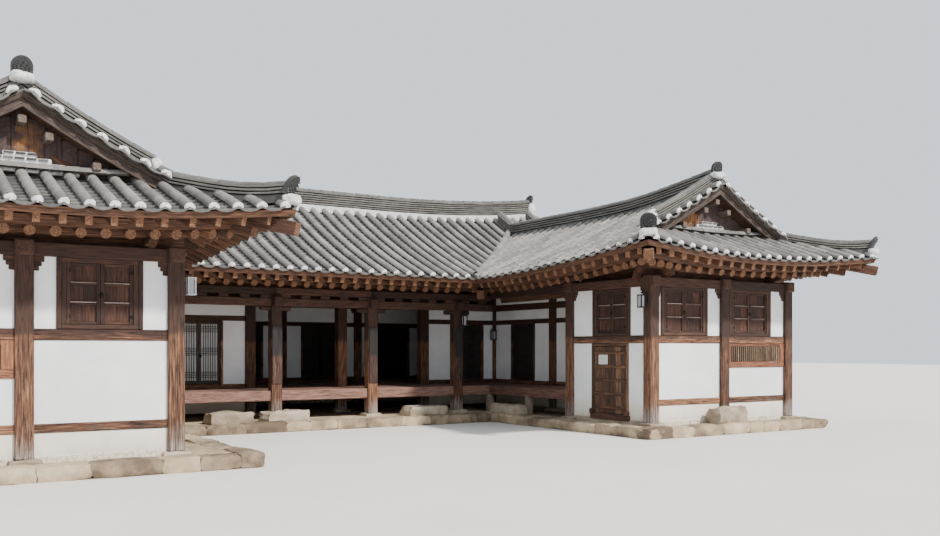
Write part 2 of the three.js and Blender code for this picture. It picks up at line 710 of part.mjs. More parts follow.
function backWall() {
  const place = alongX(1, BACK, 1);
  const holes = HALL_BAYS.map((u) => ({ u0: u - BACK_DOOR_HALF, u1: u + BACK_DOOR_HALF, ...BOARD_DOOR_Z }));
  wall('back', place, {
    posts: BACK_POSTS,
    u0: -OUTER, u1: OUTER,
    slab: [-OUTER, OUTER],
    rails: [
      [-OUTER, OUTER, LOWER_RAIL], [-OUTER, PORCH_POSTS[1], MID_RAIL], [RECESS, OUTER, MID_RAIL],
      [PORCH_POSTS[1], RECESS, SILL], [PORCH_POSTS[1], RECESS, DOOR_HEAD],
    ],
    holes,
  });
  holes.forEach(({ u0, u1, z0, z1 }, index) => {
    const door = place(u0 + GAP, u1 - GAP, ...BACK_DOOR_FACES, z0 + GAP, z1 - GAP);
    add(`hall_back_door_${index + 1}`, 'dark_wood', door);
  });
}

// Porch: a row of free posts under a long beam and purlin
function porchFrame() {
  const place = alongX(1, PORCH, -1);
  const half = COURT + PURLIN;
  const timber = [
    ...PORCH_POSTS.map((u) => fullPost(place, u)),
    place(-half, half, -PORCH_BEAM_HALF, PORCH_BEAM_HALF, ...PORCH_BEAM),
    place(-half, half, -PORCH_BLOCK_HALF, PORCH_BLOCK_HALF, PORCH_BEAM[1] - PAST, PORCH_PURLIN + PAST),
    place(-half, half, -PURLIN, PURLIN, PORCH_PURLIN, TOP),
  ];
  add('porch_frame', 'timber', roofed(join(timber)));
}

// Inner row: the open hall, a lattice door on its left and a boarded door on its right
const LATTICE = { u0: -2335, u1: -1465, ...BOARD_DOOR_Z };
const CORNER_DOOR = { u0: 4050, u1: 4850, ...BOARD_DOOR_Z };
const PORCH_BEAM_HALF = 70;
const PORCH_BLOCK_HALF = 45;
const WALL_LAP = 30;

function hallFrame() {
  const place = alongX(1, INNER, -1);
  const ends = RECESS - POST - GAP;
  const [, hallStart, , hallEnd] = PORCH_POSTS;
  const slabTop = BAND_BEAM[0] + WALL_LAP;
  const tieHalf = PORCH_BEAM_HALF;
  const ties = PORCH_POSTS.map((u) => block(u - tieHalf, u + tieHalf, PORCH + POST + GAP, INNER, ...BAND_BEAM));
  const timber = [
    ...PORCH_POSTS.map((u) => fullPost(place, u)),
    rail(place, -ends, hallStart, SILL), rail(place, hallEnd, ends, SILL),
    rail(place, -ends, hallStart, DOOR_HEAD), rail(place, hallEnd, ends, DOOR_HEAD),
    rail(place, -ends, ends, BAND_BEAM),
    place(-ends, ends, -PURLIN, PURLIN, INNER_PURLIN, TOP),
    openingFrame(place, LATTICE), openingFrame(place, CORNER_DOOR),
    ...ties,
  ];
  const left = [-ends, hallStart - POST + WALL_LAP, slabTop, [LATTICE]];
  const right = [hallEnd + POST - WALL_LAP, ends, slabTop, [CORNER_DOOR]];
  const slots = [
    slotOf(place, ...left), slotOf(place, ...right),
    clearHole(place, LATTICE), clearHole(place, CORNER_DOOR),
  ];
  add('hall_frame', 'timber', cut(roofed(join(timber)), slots));
  add('hall_left_wall', 'plaster', slabOf(place, ...left));
  add('hall_right_wall', 'plaster', slabOf(place, ...right));
}

// Swinging leaves: a slab with a pin at its foot on the hinge line, standing in its opening

function leaf(name, look, place, { u0, u1, z0, z1 }, hingeAtStart, half, w) {
  const near = hingeAtStart ? u0 + HINGE_GAP : u0 + LEAF_GAP;
  const far = hingeAtStart ? u1 - LEAF_GAP : u1 - HINGE_GAP;
  const hinge = hingeAtStart ? near + half : far - half;
  const spot = place(hinge - 1, hinge + 1, w - 1, w + 1, 0, 1).boundingBox();
  const x = (spot.min[0] + spot.max[0]) / 2;
  const y = (spot.min[1] + spot.max[1]) / 2;
  const panel = place(near, far, w - half, w + half, z0 + LEAF_GAP, z1 - LEAF_GAP);
  add(name, look, panel.add(pin(x, y, z0 + GAP, z0 + PIN_TOP)));
}

function doors() {
  const court = alongY(1, COURT, -1);
  const recess = alongY(1, RECESS, -1);
  const inner = alongX(1, INNER, -1);
  const middle = (LATTICE.u0 + LATTICE.u1) / 2;
  const leftHalf = { ...LATTICE, u1: middle + LEAVES_LAP };
  const rightHalf = { ...LATTICE, u0: middle - LEAVES_LAP };
  leaf('plank_door', 'timber', court, PLANK_DOOR, true, PLANK_LEAF, PLANK_LINE);
  leaf('recess_door', 'dark_wood', recess, RECESS_DOOR, true, LEAF, LEAF_LINE);
  leaf('corner_door', 'dark_wood', inner, CORNER_DOOR, true, LEAF, LEAF_LINE);
  leaf('lattice_door_left', 'timber', inner, leftHalf, true, LEAF, LEAF_LINE);
  leaf('lattice_door_right', 'timber', inner, rightHalf, false, LEAF, LEAF_LINE);
}

// The hidden court doors of the left wing stand shut
function shutDoor() {
  const place = alongY(-1, RECESS, -1);
  const { u0, u1, z0, z1 } = RECESS_DOOR;
  add('left_recess_door', 'dark_wood', place(u0 + GAP, u1 - GAP, ...SHUT_DOOR_FACES, z0 + GAP, z1 - GAP));
}

// Floors: the boarded hall, porch and side strips in one, and the raised floors of the rooms

const FLOOR_EDGE = 60;
const CORNER_PROP = 50;
const NOTCH = 110;

function hallFloor() {
  const low = FLOOR - FLOOR_THICK;
  const beamLow = FLOOR - EDGE_BEAM;
  const porchEdge = PORCH - FLOOR_EDGE;
  const side = COURT - FLOOR_EDGE;
  const inside = RECESS - RAIL - GAP;
  const start = ROOM_END + POST + GAP;
  const pieces = [
    block(-inside, inside, porchEdge, BACK - POST - GAP, low, FLOOR),
    block(-COURT, COURT, porchEdge, PORCH + FLOOR_EDGE, beamLow, FLOOR),
  ];
  for (const s of [-1, 1]) {
    const [propX, propY] = [s * COURT, PORCH];
    pieces.push(block(s * side, s * inside, start, INNER, low, FLOOR));
    pieces.push(block(s * side, s * (COURT + FLOOR_EDGE), start, PORCH, beamLow, FLOOR));
    pieces.push(block(
      propX - CORNER_PROP, propX + CORNER_PROP, propY - CORNER_PROP, propY + CORNER_PROP, PLATFORM + GAP, FLOOR,
    ));
  }
  const notch = (x, y) => block(x - POST - GAP, x + POST + GAP, y - POST - GAP, y + POST + GAP, 0, SKY);
  const posts = [
    ...PORCH_POSTS.map((x) => notch(x, PORCH)), ...PORCH_POSTS.map((x) => notch(x, INNER)),
    ...[-1, 1].flatMap((s) => [INNER, RECESS_POST, ROOM_END].map((y) => notch(s * RECESS, y))),
  ];
  const wallLines = [[-RECESS, PORCH_POSTS[1]], [PORCH_POSTS[3], RECESS]].map(([x0, x1]) =>
    block(x0, x1, INNER - RAIL - GAP, INNER + RAIL + GAP, 0, SKY));
  add('hall_floor', 'floor', cut(join(pieces), [...posts, ...wallLines]));
}

function roomFloor(side, label) {
  const x0 = RECESS + POST + GAP;
  const x1 = OUTER - POST - GAP;
  const low = FLOOR - ROOM_FLOOR;
  const end = BACK - POST - GAP;
  const floor = block(side * x0, side * x1, ROOM_END + POST, end, low, FLOOR)
    .add(block(side * (RECESS - RAIL), side * x1, INNER + POST + GAP, end, low, FLOOR));
  const notches = OUTER_ROWS.slice(1).map((y) =>
    block(side * (OUTER - NOTCH), side * OUTER, y - NOTCH, y + NOTCH, 0, SKY));
  add(`${label}_room_floor`, 'floor', cut(floor, notches));
}

// Platforms of stone, with a foot stone under each post and stepping stones before the floors
const SUNK = 10;
const MIDDLE_EDGE = 900;
const STEP_FACES = [620, 220];
const STEP_TOP = 130;
const STEPS = [[-1900, 800], [-800, 850], [2250, 900]];

function footStones(points) {
  return points.map(([x, y]) =>
    block(x - FOOT_STONE, x + FOOT_STONE, y - FOOT_STONE, y + FOOT_STONE, PLATFORM - 2 * SUNK, -GAP));
}

function wingPlatform(side, label, inner) {
  const outer = OUTER + PLATFORM_EDGE;
  const bed = block(side * inner, side * outer, FRONT - PLATFORM_EDGE, BACK + PLATFORM_EDGE, GROUND, PLATFORM);
  const feet = [
    ...[COURT, WING_CENTRE, OUTER].map((x) => [side * x, FRONT]),
    ...[...OUTER_ROWS, BACK].map((y) => [side * OUTER, y]),
    [side * COURT, ROOM_END],
    ...[ROOM_END, RECESS_POST, INNER, BACK].map((y) => [side * RECESS, y]),
  ];
  const stones = side > 0 ? [block(3640, 4040, 3500, 4300, PLATFORM - SUNK, 150)] : [];
  add(`${label}_platform`, 'stone', join([bed, ...footStones(feet), ...stones]));
}

function middlePlatform(left, right) {
  const bed = block(-left + GAP, right - GAP, PORCH - MIDDLE_EDGE, BACK + PLATFORM_EDGE, GROUND, PLATFORM);
  const feet = PORCH_POSTS.flatMap((x) => [[x, PORCH], [x, INNER], [x, BACK]]);
  const [near, far] = STEP_FACES.map((from) => PORCH - from);
  const stones = STEPS.map(([x, length]) =>
    block(x - length / 2, x + length / 2, near, far, PLATFORM - SUNK, STEP_TOP));
  add('middle_platform', 'stone', join([bed, ...footStones(feet), ...stones]));
}

function platforms() {
  const left = COURT - LEFT_COURT_EDGE;
  const right = COURT - PLATFORM_EDGE;
  wingPlatform(-1, 'left', left);
  wingPlatform(1, 'right', right);
  middlePlatform(left, right);
}

// Assembly

const rightHalf = block(0, EAVE_OUTER + BEYOND, EAVE_FRONT - BEYOND, EAVE_BACK + BEYOND, 0, SKY);
add('left_wing_roof', 'tile', shell.subtract(cutRegion).subtract(rightHalf));
add('middle_roof', 'tile', shell.intersect(middleRegion));
add('right_wing_roof', 'tile', shell.subtract(cutRegion).intersect(rightHalf));
add('left_wing_ridge', 'tile', wingRidge(-1));
add('middle_ridge', 'tile', middleRidge());
add('right_wing_ridge', 'tile', wingRidge(1));
add('left_gable', 'timber', wingGable(-1));
add('right_gable', 'timber', wingGable(1));
add('left_end_gable', 'timber', endGable(-1));
add('right_end_gable', 'timber', endGable(1));
for (const [side, label] of [[-1, 'left'], [1, 'right']]) {
  wingFront(side, label);
  wingCourt(side, label);
  wingRecess(side, label);
  wingOuter(side, label);
  roomFloor(side, label);
}
backWall();
porchFrame();
hallFrame();
doors();
shutDoor();
hallFloor();
platforms();

function meshOf(name, look, piece) {
  const { vertProperties, triVerts } = piece.getMesh();
  const geometry = new THREE.BufferGeometry();
  geometry.setAttribute('position', new THREE.BufferAttribute(vertProperties, 3));
  geometry.setIndex(new THREE.BufferAttribute(triVerts, 1));
  geometry.computeVertexNormals();
  const [color, roughness] = COLOURS[look];
  const mesh = new THREE.Mesh(geometry, new THREE.MeshStandardMaterial({ color, roughness, metalness: 0 }));
  mesh.name = name;
  return mesh;
}

const house = new THREE.Group();
nodes.forEach(([name, look, piece]) => house.add(meshOf(name, look, piece)));
house.position.set(0, -(EAVE_FRONT + EAVE_BACK) / 2, -GROUND);

export default house;
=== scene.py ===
"""Hanok house: tiles, eaves, weathered timbers, plaster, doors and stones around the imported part.

Metres. Shapes are laid out from the house's middle line and its post feet, as the part is,
and SHIFT moves them into the row frame: +Z up, with the court open towards -Y.
"""

import json
import math
import random

import bmesh
import bpy
from mathutils import Matrix, Vector, noise


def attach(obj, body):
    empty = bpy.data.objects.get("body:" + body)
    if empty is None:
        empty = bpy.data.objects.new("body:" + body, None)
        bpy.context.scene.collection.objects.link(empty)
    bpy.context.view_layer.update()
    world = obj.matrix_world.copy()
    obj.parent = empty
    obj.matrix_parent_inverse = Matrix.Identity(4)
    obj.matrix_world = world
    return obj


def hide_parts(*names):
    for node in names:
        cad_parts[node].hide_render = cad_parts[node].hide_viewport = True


SHIFT = Vector((0, -5.010, 0.220))
SIDES = ((-1, "left"), (1, "right"))
SLACK = 1e-6
SEED = 7

# Plan: wing lines, rows of posts and half sizes of the timbers
WING_CENTRE = 5.94
WING_HALF = 1.78
COURT = WING_CENTRE - WING_HALF
OUTER = WING_CENTRE + WING_HALF
RECESS = 5.28
FRONT = 0.0
ROOM_END = 2.2
RECESS_POST = 4.2
PORCH = 5.1
INNER = 6.55
BACK = 10.02
PORCH_POSTS = (-2.9, -0.84, 1.22, 3.28)
OUTER_POSTS = (2.2, 4.2, 6.55, 8.3)
BACK_POSTS = (-OUTER, -RECESS, -2.9, -0.84, 1.22, 3.28, RECESS, OUTER)
POST = 0.105
RAIL = 0.06
BEAM = 0.075
JAMB = 0.055
LINING = 0.06
BEVEL = 0.006
POST_BEVEL = 0.014
RAIL_BEVEL = 0.012
FRAME_BEVEL = 0.007

# Heights of rails, beams and floors
LOWER_RAIL = (0.305, 0.415)
MID_RAIL = (1.415, 1.555)
HEAD = (2.42, 2.59)
FLOOR = 0.51
SILL = (0.49, 0.6)
DOOR_HEAD = (1.885, 1.99)
BAND_BEAM = (2.204, 2.35)
PORCH_BEAM = (2.14, 2.295)
WINDOW_Z = (1.61, 2.365)
VENT_Z = (1.08, 1.36)
VENT_BAR_STEP = 0.056
CORBEL_STEPS = ((0.225, 2.35, 2.425), (0.195, 2.30, 2.352), (0.165, 2.245, 2.302))
BEAM_INSET = 0.012
PORCH_BEAM_SEAT = 2.36
HALL_RAIL = (3.02, 3.14)
ROOM_POST_TOP = 2.62
HALL_POST_TOP = 3.35
TIE_BEAM = (3.3, 3.5)
GROUND = -0.22
PLATFORM = -0.04
PLATFORM_EDGE = 0.56
LEFT_COURT_EDGE = 1.0

# Openings along their walls: start, end, foot and head
FRONT_WINDOWS = {-1: ((4.625, 5.53), (6.35, 7.31)), 1: ((4.4, 5.45), (6.13, 7.175))}
VENT = {-1: (6.19, 7.4), 1: (6.125, 7.49)}
COURT_WINDOW = (0.54, 1.47)
PLANK_DOOR = (0.59, 1.5, 0.11, 1.36)
RECESS_DOOR = (4.94, 5.74, 0.6, 1.87)
LATTICE = (-2.335, -1.465, 0.6, 1.87)
CORNER_DOOR = (4.05, 4.85, 0.6, 1.87)
HALL_BAYS = (0.19, 2.25, 4.28)
BACK_DOOR = (0.48, 0.6, 1.87)
DOOR_BARS = (0.75, 1.0, 1.24, 1.48, 1.72)
DOOR_GAP = 0.008
JOISTS = (-5.22, -4.16, -2.9, -1.87, -0.84, 0.19, 1.22, 2.25, 3.28, 4.16, 5.22)

# Roof: eaves lines, pitch, lift and swing of the corners, rise of the ridges
OVERHANG = 1.05
EAVES = 2.76
PITCH = 0.37
CURVE = 0.03
LIFT = 0.31
LIFT_REACH = 4.5
LIFT_POWER = 1.5
VERGE = 0.1
END_VERGE = 7.06
WING_RISE = 0.2
END_RISE = 0.26
RISE_REACH = 4.3
RISE_LIMIT = 1.2
CORNER_REACH = 0.13
CORNER_BEND = 2.4
OUT_OF_PLAY = 99
EAVE_COURT = COURT - OVERHANG
EAVE_OUTER = OUTER + OVERHANG
EAVE_FRONT = FRONT - OVERHANG
EAVE_PORCH = PORCH - OVERHANG
EAVE_BACK = BACK + OVERHANG
RIDGE_Y = (EAVE_PORCH + EAVE_BACK) / 2
WING_RUN = WING_HALF + OVERHANG
MIDDLE_RUN = RIDGE_Y - EAVE_PORCH
SKIRT_RUN = VERGE - EAVE_FRONT
END_RUN = EAVE_OUTER - END_VERGE
CORNERS = (
    (EAVE_COURT, EAVE_FRONT, -1, -1),
    (EAVE_OUTER, EAVE_FRONT, 1, -1),
    (EAVE_OUTER, EAVE_BACK, 1, 1),
)

# Tiles: cover tiles over the joints and concave tiles between them, with the tones each kind starts from; the
# concave tiles start darker, as painted shade between the cover tiles
ROW_STEP = 0.275
TILE_NOSE = 0.03
ROLL_TILE = 0.3
ROLL_RADIUS = 0.07
ROLL_TAPER = 0.9
ROLL_LIP = 0.004
ROLL_LIFT = 0.045
TROUGH_TILE = 0.15
TROUGH_NOSE = 0.045
TROUGH_FACE = 0.026
TROUGH_STEP = 0.022
TROUGH_LIP = 0.002
# The concave tiles' low starting tones are painted shade between the rolls.
TILE_KINDS = (("roll", ROLL_TILE, 0.0, (0.4, 0.32)), ("trough", TROUGH_TILE, ROW_STEP / 2, (0.05, 0.4)))
RIDGE_TONES = (0.38, 0.3)
EDGE_ROW = 0.06
VERGE_TILE_OUT = 0.13
VERGE_TILE_RUN = 0.3
TUCKED = 0.3
BED_DEPTH = (-0.1, -0.03)

# Ridges: half width, foot of the first course, number of courses and height of each
WING_MAIN_RIDGE = (0.11, 0.1, 4, 0.05)
WING_DOWN_RIDGE = (0.095, 0.085, 4, 0.046)
MIDDLE_MAIN_RIDGE = (0.11, 0.12, 6, 0.05)
MIDDLE_DOWN_RIDGE = (0.095, 0.07, 3, 0.046)
HIP_RIDGE = (0.09, 0.06, 3, 0.042)
RIDGE_INSET = 0.11
HIP_RISE = 0.11
COURSE_TILE = 0.28
COURSE_JOINT = 0.42
COURSE_SOLID = 0.58

# End tiles: width, foot, height and lean in degrees, then depth, foot and top of the mortar behind
WING_END = (0.25, 0.225, 0.235, 10, (0.2, 0.15, 0.26))
MIDDLE_END = (0.25, 0.36, 0.24, 14, (0.2, 0.06, 0.38))
HIP_END = (0.27, 0.02, 0.265, 28, (0.17, -0.06, 0.05))

# Gables: how far the boarded wall stands back, and how far the verge boards rise, their thickness and height
GABLE_DEPTH = 0.23
VERGE_RAISE = 0.035
VERGE_BOARDS = ((0.05, 0.19), (0.075, 0.08))
VERGE_STEPS = 8
GABLE_BOARD = 0.19
PURLIN_ENDS = (-0.85, -0.3, 0, 0.3, 0.85)

# Eaves: depth below the tile bed and reach of rafters
FLY_SIZE = (0.085, 0.12)
FLY_DEPTH = 0.148
EDGE_BOARD = ((-0.022, 0.03), (-0.092, -0.006))
LOWER_BOARD = ((0.37, 0.42), (-0.335, -0.208))
SOFFIT_START = 0.4
SOFFIT_DEPTH = (-0.31, -0.3)
ROUND_RADIUS = 0.07
ROUND_TIP = 0.06
ROUND_DEPTH = (0.4, 0.36)
RAFTER_STEP = 0.262
FAN_STEP = 0.29
EAVE_OVERRUN = 0.05
EAVE_INNER = 1.3
PURLIN_RADIUS = 0.1
PURLIN_DEPTH = 0.51
PURLIN_FOOT = -0.9
PORCH_PURLIN_FOOT = -0.76

# Stones: lengths of the kerb's, and half the diagonal of the unit cube that each is worn from
KERB_STONE = (0.38, 0.85)
HALF_DIAGONAL = 0.866

# Light, and the camera at the photograph's place
SUN_POWER = 5.9
SUN_SIZE = 4
SUN_TILT = 46
SUN_TURN = 22
SKY_POWER = 1.35
CAMERA_PLACE = (-7.545, -17.346, 1.531)
CAMERA_TURN = -32.663
CAMERA_LENS = 36.27
CAMERA_SHIFT = 0.0862

random.seed(SEED)
noise.seed_set(SEED)
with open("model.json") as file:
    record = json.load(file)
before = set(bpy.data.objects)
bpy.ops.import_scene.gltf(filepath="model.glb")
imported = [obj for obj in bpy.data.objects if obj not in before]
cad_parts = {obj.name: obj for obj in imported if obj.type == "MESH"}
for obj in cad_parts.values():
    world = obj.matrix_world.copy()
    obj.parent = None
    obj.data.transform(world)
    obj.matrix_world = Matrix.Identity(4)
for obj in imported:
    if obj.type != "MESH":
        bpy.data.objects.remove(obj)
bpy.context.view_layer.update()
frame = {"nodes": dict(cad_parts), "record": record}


# Materials


class Value:
    """A socket in a material, with Python's arithmetic."""

    def __init__(self, finish, socket):
        self.finish = finish
        self.socket = socket

    def __add__(self, other):
        return self.finish.math("ADD", self, other)

    __radd__ = __add__

    def __sub__(self, other):
        return self.finish.math("SUBTRACT", self, other)

    def __rsub__(self, other):
        return self.finish.math("SUBTRACT", other, self)

    def __mul__(self, other):
        return self.finish.math("MULTIPLY", self, other)

    __rmul__ = __mul__


class Finish:
    """One material and its nodes."""

    def __init__(self, name):
        self.material = bpy.data.materials.new(name)
        self.material.use_nodes = True
        self.tree = self.material.node_tree
        self.shader = self.tree.nodes["Principled BSDF"]
        self.place = self.node("ShaderNodeTexCoord", out="Object")

    def link(self, socket, value):
        if isinstance(value, Value):
            self.tree.links.new(value.socket, socket)
        elif isinstance(value, tuple) and len(value) == 3 and socket.type == "RGBA":
            socket.default_value = (*value, 1)
        else:
            socket.default_value = value

    def node(self, kind, settings=None, sockets=None, out=0):
        made = self.tree.nodes.new(kind)
        for name, value in (settings or {}).items():
            if name == "stops":
                ramp = made.color_ramp
                for _ in range(len(value) - 2):
                    ramp.elements.new(0.5)
                for element, (spot, shade) in zip(ramp.elements, value):
                    element.position = spot
                    element.color = (*shade, 1) if isinstance(shade, tuple) else (shade, shade, shade, 1)
            else:
                setattr(made, name, value)
        for name, value in (sockets or {}).items():
            self.link(made.inputs[name], value)
        return Value(self, made.outputs[out])

    def math(self, operation, first, second):
        return self.node("ShaderNodeMath", {"operation": operation}, {0: first, 1: second})

    def noise(self, vector, scale, detail=4.0, rough=0.55):
        sockets = {"Vector": vector, "Scale": scale, "Detail": detail, "Roughness": rough}
        return self.node("ShaderNodeTexNoise", None, sockets, "Fac")

    def stretch(self, vector, scale):
        return self.node("ShaderNodeVectorMath", {"operation": "MULTIPLY"}, {0: vector, 1: scale})

    def parts(self, vector):
        made = self.node("ShaderNodeSeparateXYZ", None, {0: vector})
        outs = made.socket.node.outputs
        return [Value(self, outs[i]) for i in range(3)]

    def step(self, value, low, high):
        """0 below low and 1 above high."""
        sockets = {"Value": value, "From Min": low, "From Max": high}
        return self.node("ShaderNodeMapRange", {"interpolation_type": "SMOOTHSTEP"}, sockets)

    def blend(self, share, first, second):
        return self.node("ShaderNodeMix", {"data_type": "RGBA"}, {0: share, 6: first, 7: second}, 2)

    def ramp(self, value, stops):
        return self.node("ShaderNodeValToRGB", {"stops": stops}, {0: value})

    def attribute(self, name, out):
        return self.node("ShaderNodeAttribute", {"attribute_name": name}, None, out)

    def bump(self, height, distance, strength=1.0):
        sockets = {"Height": height, "Distance": distance, "Strength": strength}
        return self.node("ShaderNodeBump", None, sockets)

    def close(self, colour, rough, normal):
        self.link(self.shader.inputs["Base Color"], colour)
        self.link(self.shader.inputs["Roughness"], rough)
        self.link(self.shader.inputs["Normal"], normal)
        return self.material


def dim(colour, share):
    return tuple(share * c for c in colour)


def timber_finish(name, dark, worn, foot, painted_shade_line, foot_top):
    """Old squared timber: dark above a ragged line as painted eave shade, worn to orange wood below and grey
    at its foot.
    """
    f = Finish(name)
    grain = f.attribute("grain", "Vector")
    tone = f.attribute("tone", "Fac")
    streaks = f.noise(f.stretch(grain, (1.6, 26.0, 26.0)), 2.2, 7.0, 0.62)
    lines = f.noise(f.stretch(grain, (1.1, 60.0, 60.0)), 2.0, 3.0, 0.5)
    cracks = f.step(f.noise(f.stretch(grain, (2.4, 26.0, 26.0)), 1.9, 6.0, 0.65), 0.57, 0.66)
    patches = f.noise(f.place, 3.1, 4.0, 0.6)
    height = f.parts(f.place)[2]
    ragged = height + patches * 0.24
    # Above the ragged line the timber takes the dark colours: painted shade under the eaves.
    low = 1 - f.step(ragged, painted_shade_line, painted_shade_line + 0.1)
    feet = 1 - f.step(height + patches * 0.5, foot_top - 0.25, foot_top + 0.25)
    upper = f.ramp(streaks + tone * 0.25, [(0.3, dark[0]), (0.55, dark[1]), (0.8, dark[2])])
    worn_grain = streaks + (lines - 0.5) * 0.7 + tone * 0.2
    lower = f.ramp(worn_grain, [(0.32, worn[0]), (0.52, worn[1]), (0.72, worn[2])])
    pale = f.ramp(streaks + (lines - 0.5) * 0.6, [(0.35, foot[0]), (0.62, foot[1])])
    colour = f.blend(low, upper, lower)
    colour = f.blend(feet * low, colour, pale)
    colour = f.blend(cracks * 0.8, colour, dim(dark[0], 0.45))
    relief = streaks * 0.6 + lines * 0.4 - cracks
    return f.close(colour, 0.86, f.bump(relief, 0.006, 0.8))


def plain_wood(name, *stops):
    """Wood with one look from head to foot."""
    nowhere = -9.0
    return timber_finish(name, stops, stops, stops[1:], nowhere, nowhere)


def make_gable_wall():
    """Dark boards under a worn wash, with bare orange wood where it has gone."""
    f = Finish("gable_wall")
    grain = f.attribute("grain", "Vector")
    streaks = f.noise(f.stretch(grain, (1.6, 22.0, 22.0)), 2.2, 7.0, 0.62)
    patches = f.noise(f.place, 1.1, 3.0, 0.5)
    wash = f.ramp(f.noise(f.place, 26.0, 5.0, 0.65) * 0.6 + streaks * 0.4, [
        (0.32, (0.028, 0.018, 0.018)), (0.6, (0.092, 0.060, 0.055)),
    ])
    bare = f.ramp(streaks, [(0.3, (0.10, 0.038, 0.016)), (0.7, (0.42, 0.19, 0.075))])
    return f.close(f.blend(f.step(patches, 0.55, 0.6), wash, bare), 0.92, f.bump(streaks, 0.005, 0.7))


def make_plaster():
    """Lime plaster: cool white, cream at the base, with faint stains and trowel marks."""
    f = Finish("lime_plaster")
    height = f.parts(f.place)[2]
    clouds = f.noise(f.place, 1.3, 5.0, 0.6)
    streaks = f.noise(f.stretch(f.place, (6.0, 6.0, 0.7)), 1.2, 5.0, 0.6)
    fine = f.noise(f.place, 55.0, 4.0, 0.6)
    white = f.ramp(clouds, [(0.3, (0.74, 0.75, 0.77)), (0.62, (0.87, 0.88, 0.89))])
    cream = f.ramp(clouds, [(0.3, (0.74, 0.68, 0.58)), (0.65, (0.86, 0.82, 0.75))])
    colour = f.blend(1 - f.step(height + clouds * 0.1, 0.52, 0.68), white, cream)
    colour = f.blend(f.step(streaks, 0.62, 0.82) * 0.25, colour, (0.50, 0.47, 0.42))
    dirt = (1 - f.step(height + streaks * 0.25, 0.30, 0.52)) * 0.45
    colour = f.blend(dirt, colour, (0.42, 0.35, 0.26))
    return f.close(colour, 0.93, f.bump(fine * 0.35 + clouds, 0.004, 0.7))


def make_tile(name="roof_tile", shade=1.0):
    """Fired grey tile: each tile its own grey, with pale bloom and dark specks; shade below 1 darkens all of
    it as painted shade.
    """
    f = Finish(name)
    tone = f.attribute("tone", "Fac")
    clouds = f.noise(f.place, 2.3, 5.0, 0.6)
    specks = f.noise(f.place, 60.0, 4.0, 0.7)
    spots = f.noise(f.place, 17.0, 5.0, 0.65)
    mixed = tone * 0.5 + clouds * 0.25 + spots * 0.35
    grey = f.ramp(mixed, [
        (0.22, dim((0.055, 0.055, 0.057), shade)),
        (0.5, dim((0.160, 0.151, 0.142), shade)),
        (0.8, dim((0.37, 0.345, 0.31), shade)),
    ])
    grey = f.blend(f.step(spots, 0.60, 0.74) * 0.45, grey, dim((0.50, 0.475, 0.43), shade))
    grey = f.blend(f.step(specks, 0.60, 0.72) * 0.5, grey, (0.07, 0.07, 0.07))
    return f.close(grey, 0.8, f.bump(specks * 0.5 + spots, 0.005, 0.7))


def make_bed():
    """Roof bed: clay and tile dust above, boards below and at the edges."""
    f = Finish("roof_bed")
    up = f.parts(f.node("ShaderNodeNewGeometry", out="Normal"))[2]
    spots = f.noise(f.place, 9.0, 5.0, 0.6)
    top = f.ramp(spots, [(0.3, (0.05, 0.05, 0.05)), (0.7, (0.12, 0.118, 0.11))])
    wood = f.ramp(f.noise(f.stretch(f.place, (1.2, 1.2, 30.0)), 2.0, 6.0, 0.6), [
        (0.3, (0.030, 0.014, 0.008)), (0.7, (0.115, 0.052, 0.027)),
    ])
    return f.close(f.blend(f.step(up, 0.3, 0.4), wood, top), 0.9, f.bump(spots, 0.004, 0.6))


def make_mortar(name="white_mortar", base=(0.80, 0.80, 0.79)):
    """White lime mortar at tile ends and ridge ends, with grey grime."""
    f = Finish(name)
    clouds = f.noise(f.place, 22.0, 5.0, 0.65)
    colour = f.ramp(clouds, [(0.34, dim(base, 0.52)), (0.55, base)])
    return f.close(colour, 0.92, f.bump(clouds, 0.006, 0.8))


def make_stone(name, shades, scale=2.4):
    """Rough granite or sandstone, sandy in the hollows."""
    f = Finish(name)
    clouds = f.noise(f.place, scale, 6.0, 0.62)
    grit = f.noise(f.place, 42.0, 5.0, 0.7)
    tone = f.attribute("tone", "Fac")
    colour = f.ramp(clouds * 0.8 + tone * 0.3, [(0.28, shades[0]), (0.5, shades[1]), (0.78, shades[2])])
    colour = f.blend(f.step(grit, 0.56, 0.7) * 0.45, colour, dim(shades[0], 0.4))
    return f.close(colour, 0.95, f.bump(clouds * 0.6 + grit * 0.5, 0.02, 0.7))


def make_plain(name, colour, rough, grime=0.35, scale=30.0, metal=0.0):
    """A small part's finish: one colour broken by grime."""
    f = Finish(name)
    clouds = f.noise(f.place, scale, 5.0, 0.6)
    shade = f.ramp(clouds, [(0.3, dim(colour, 1 - grime)), (0.65, colour)])
    f.shader.inputs["Metallic"].default_value = metal
    return f.close(shade, rough, f.bump(clouds, 0.002, 0.5))


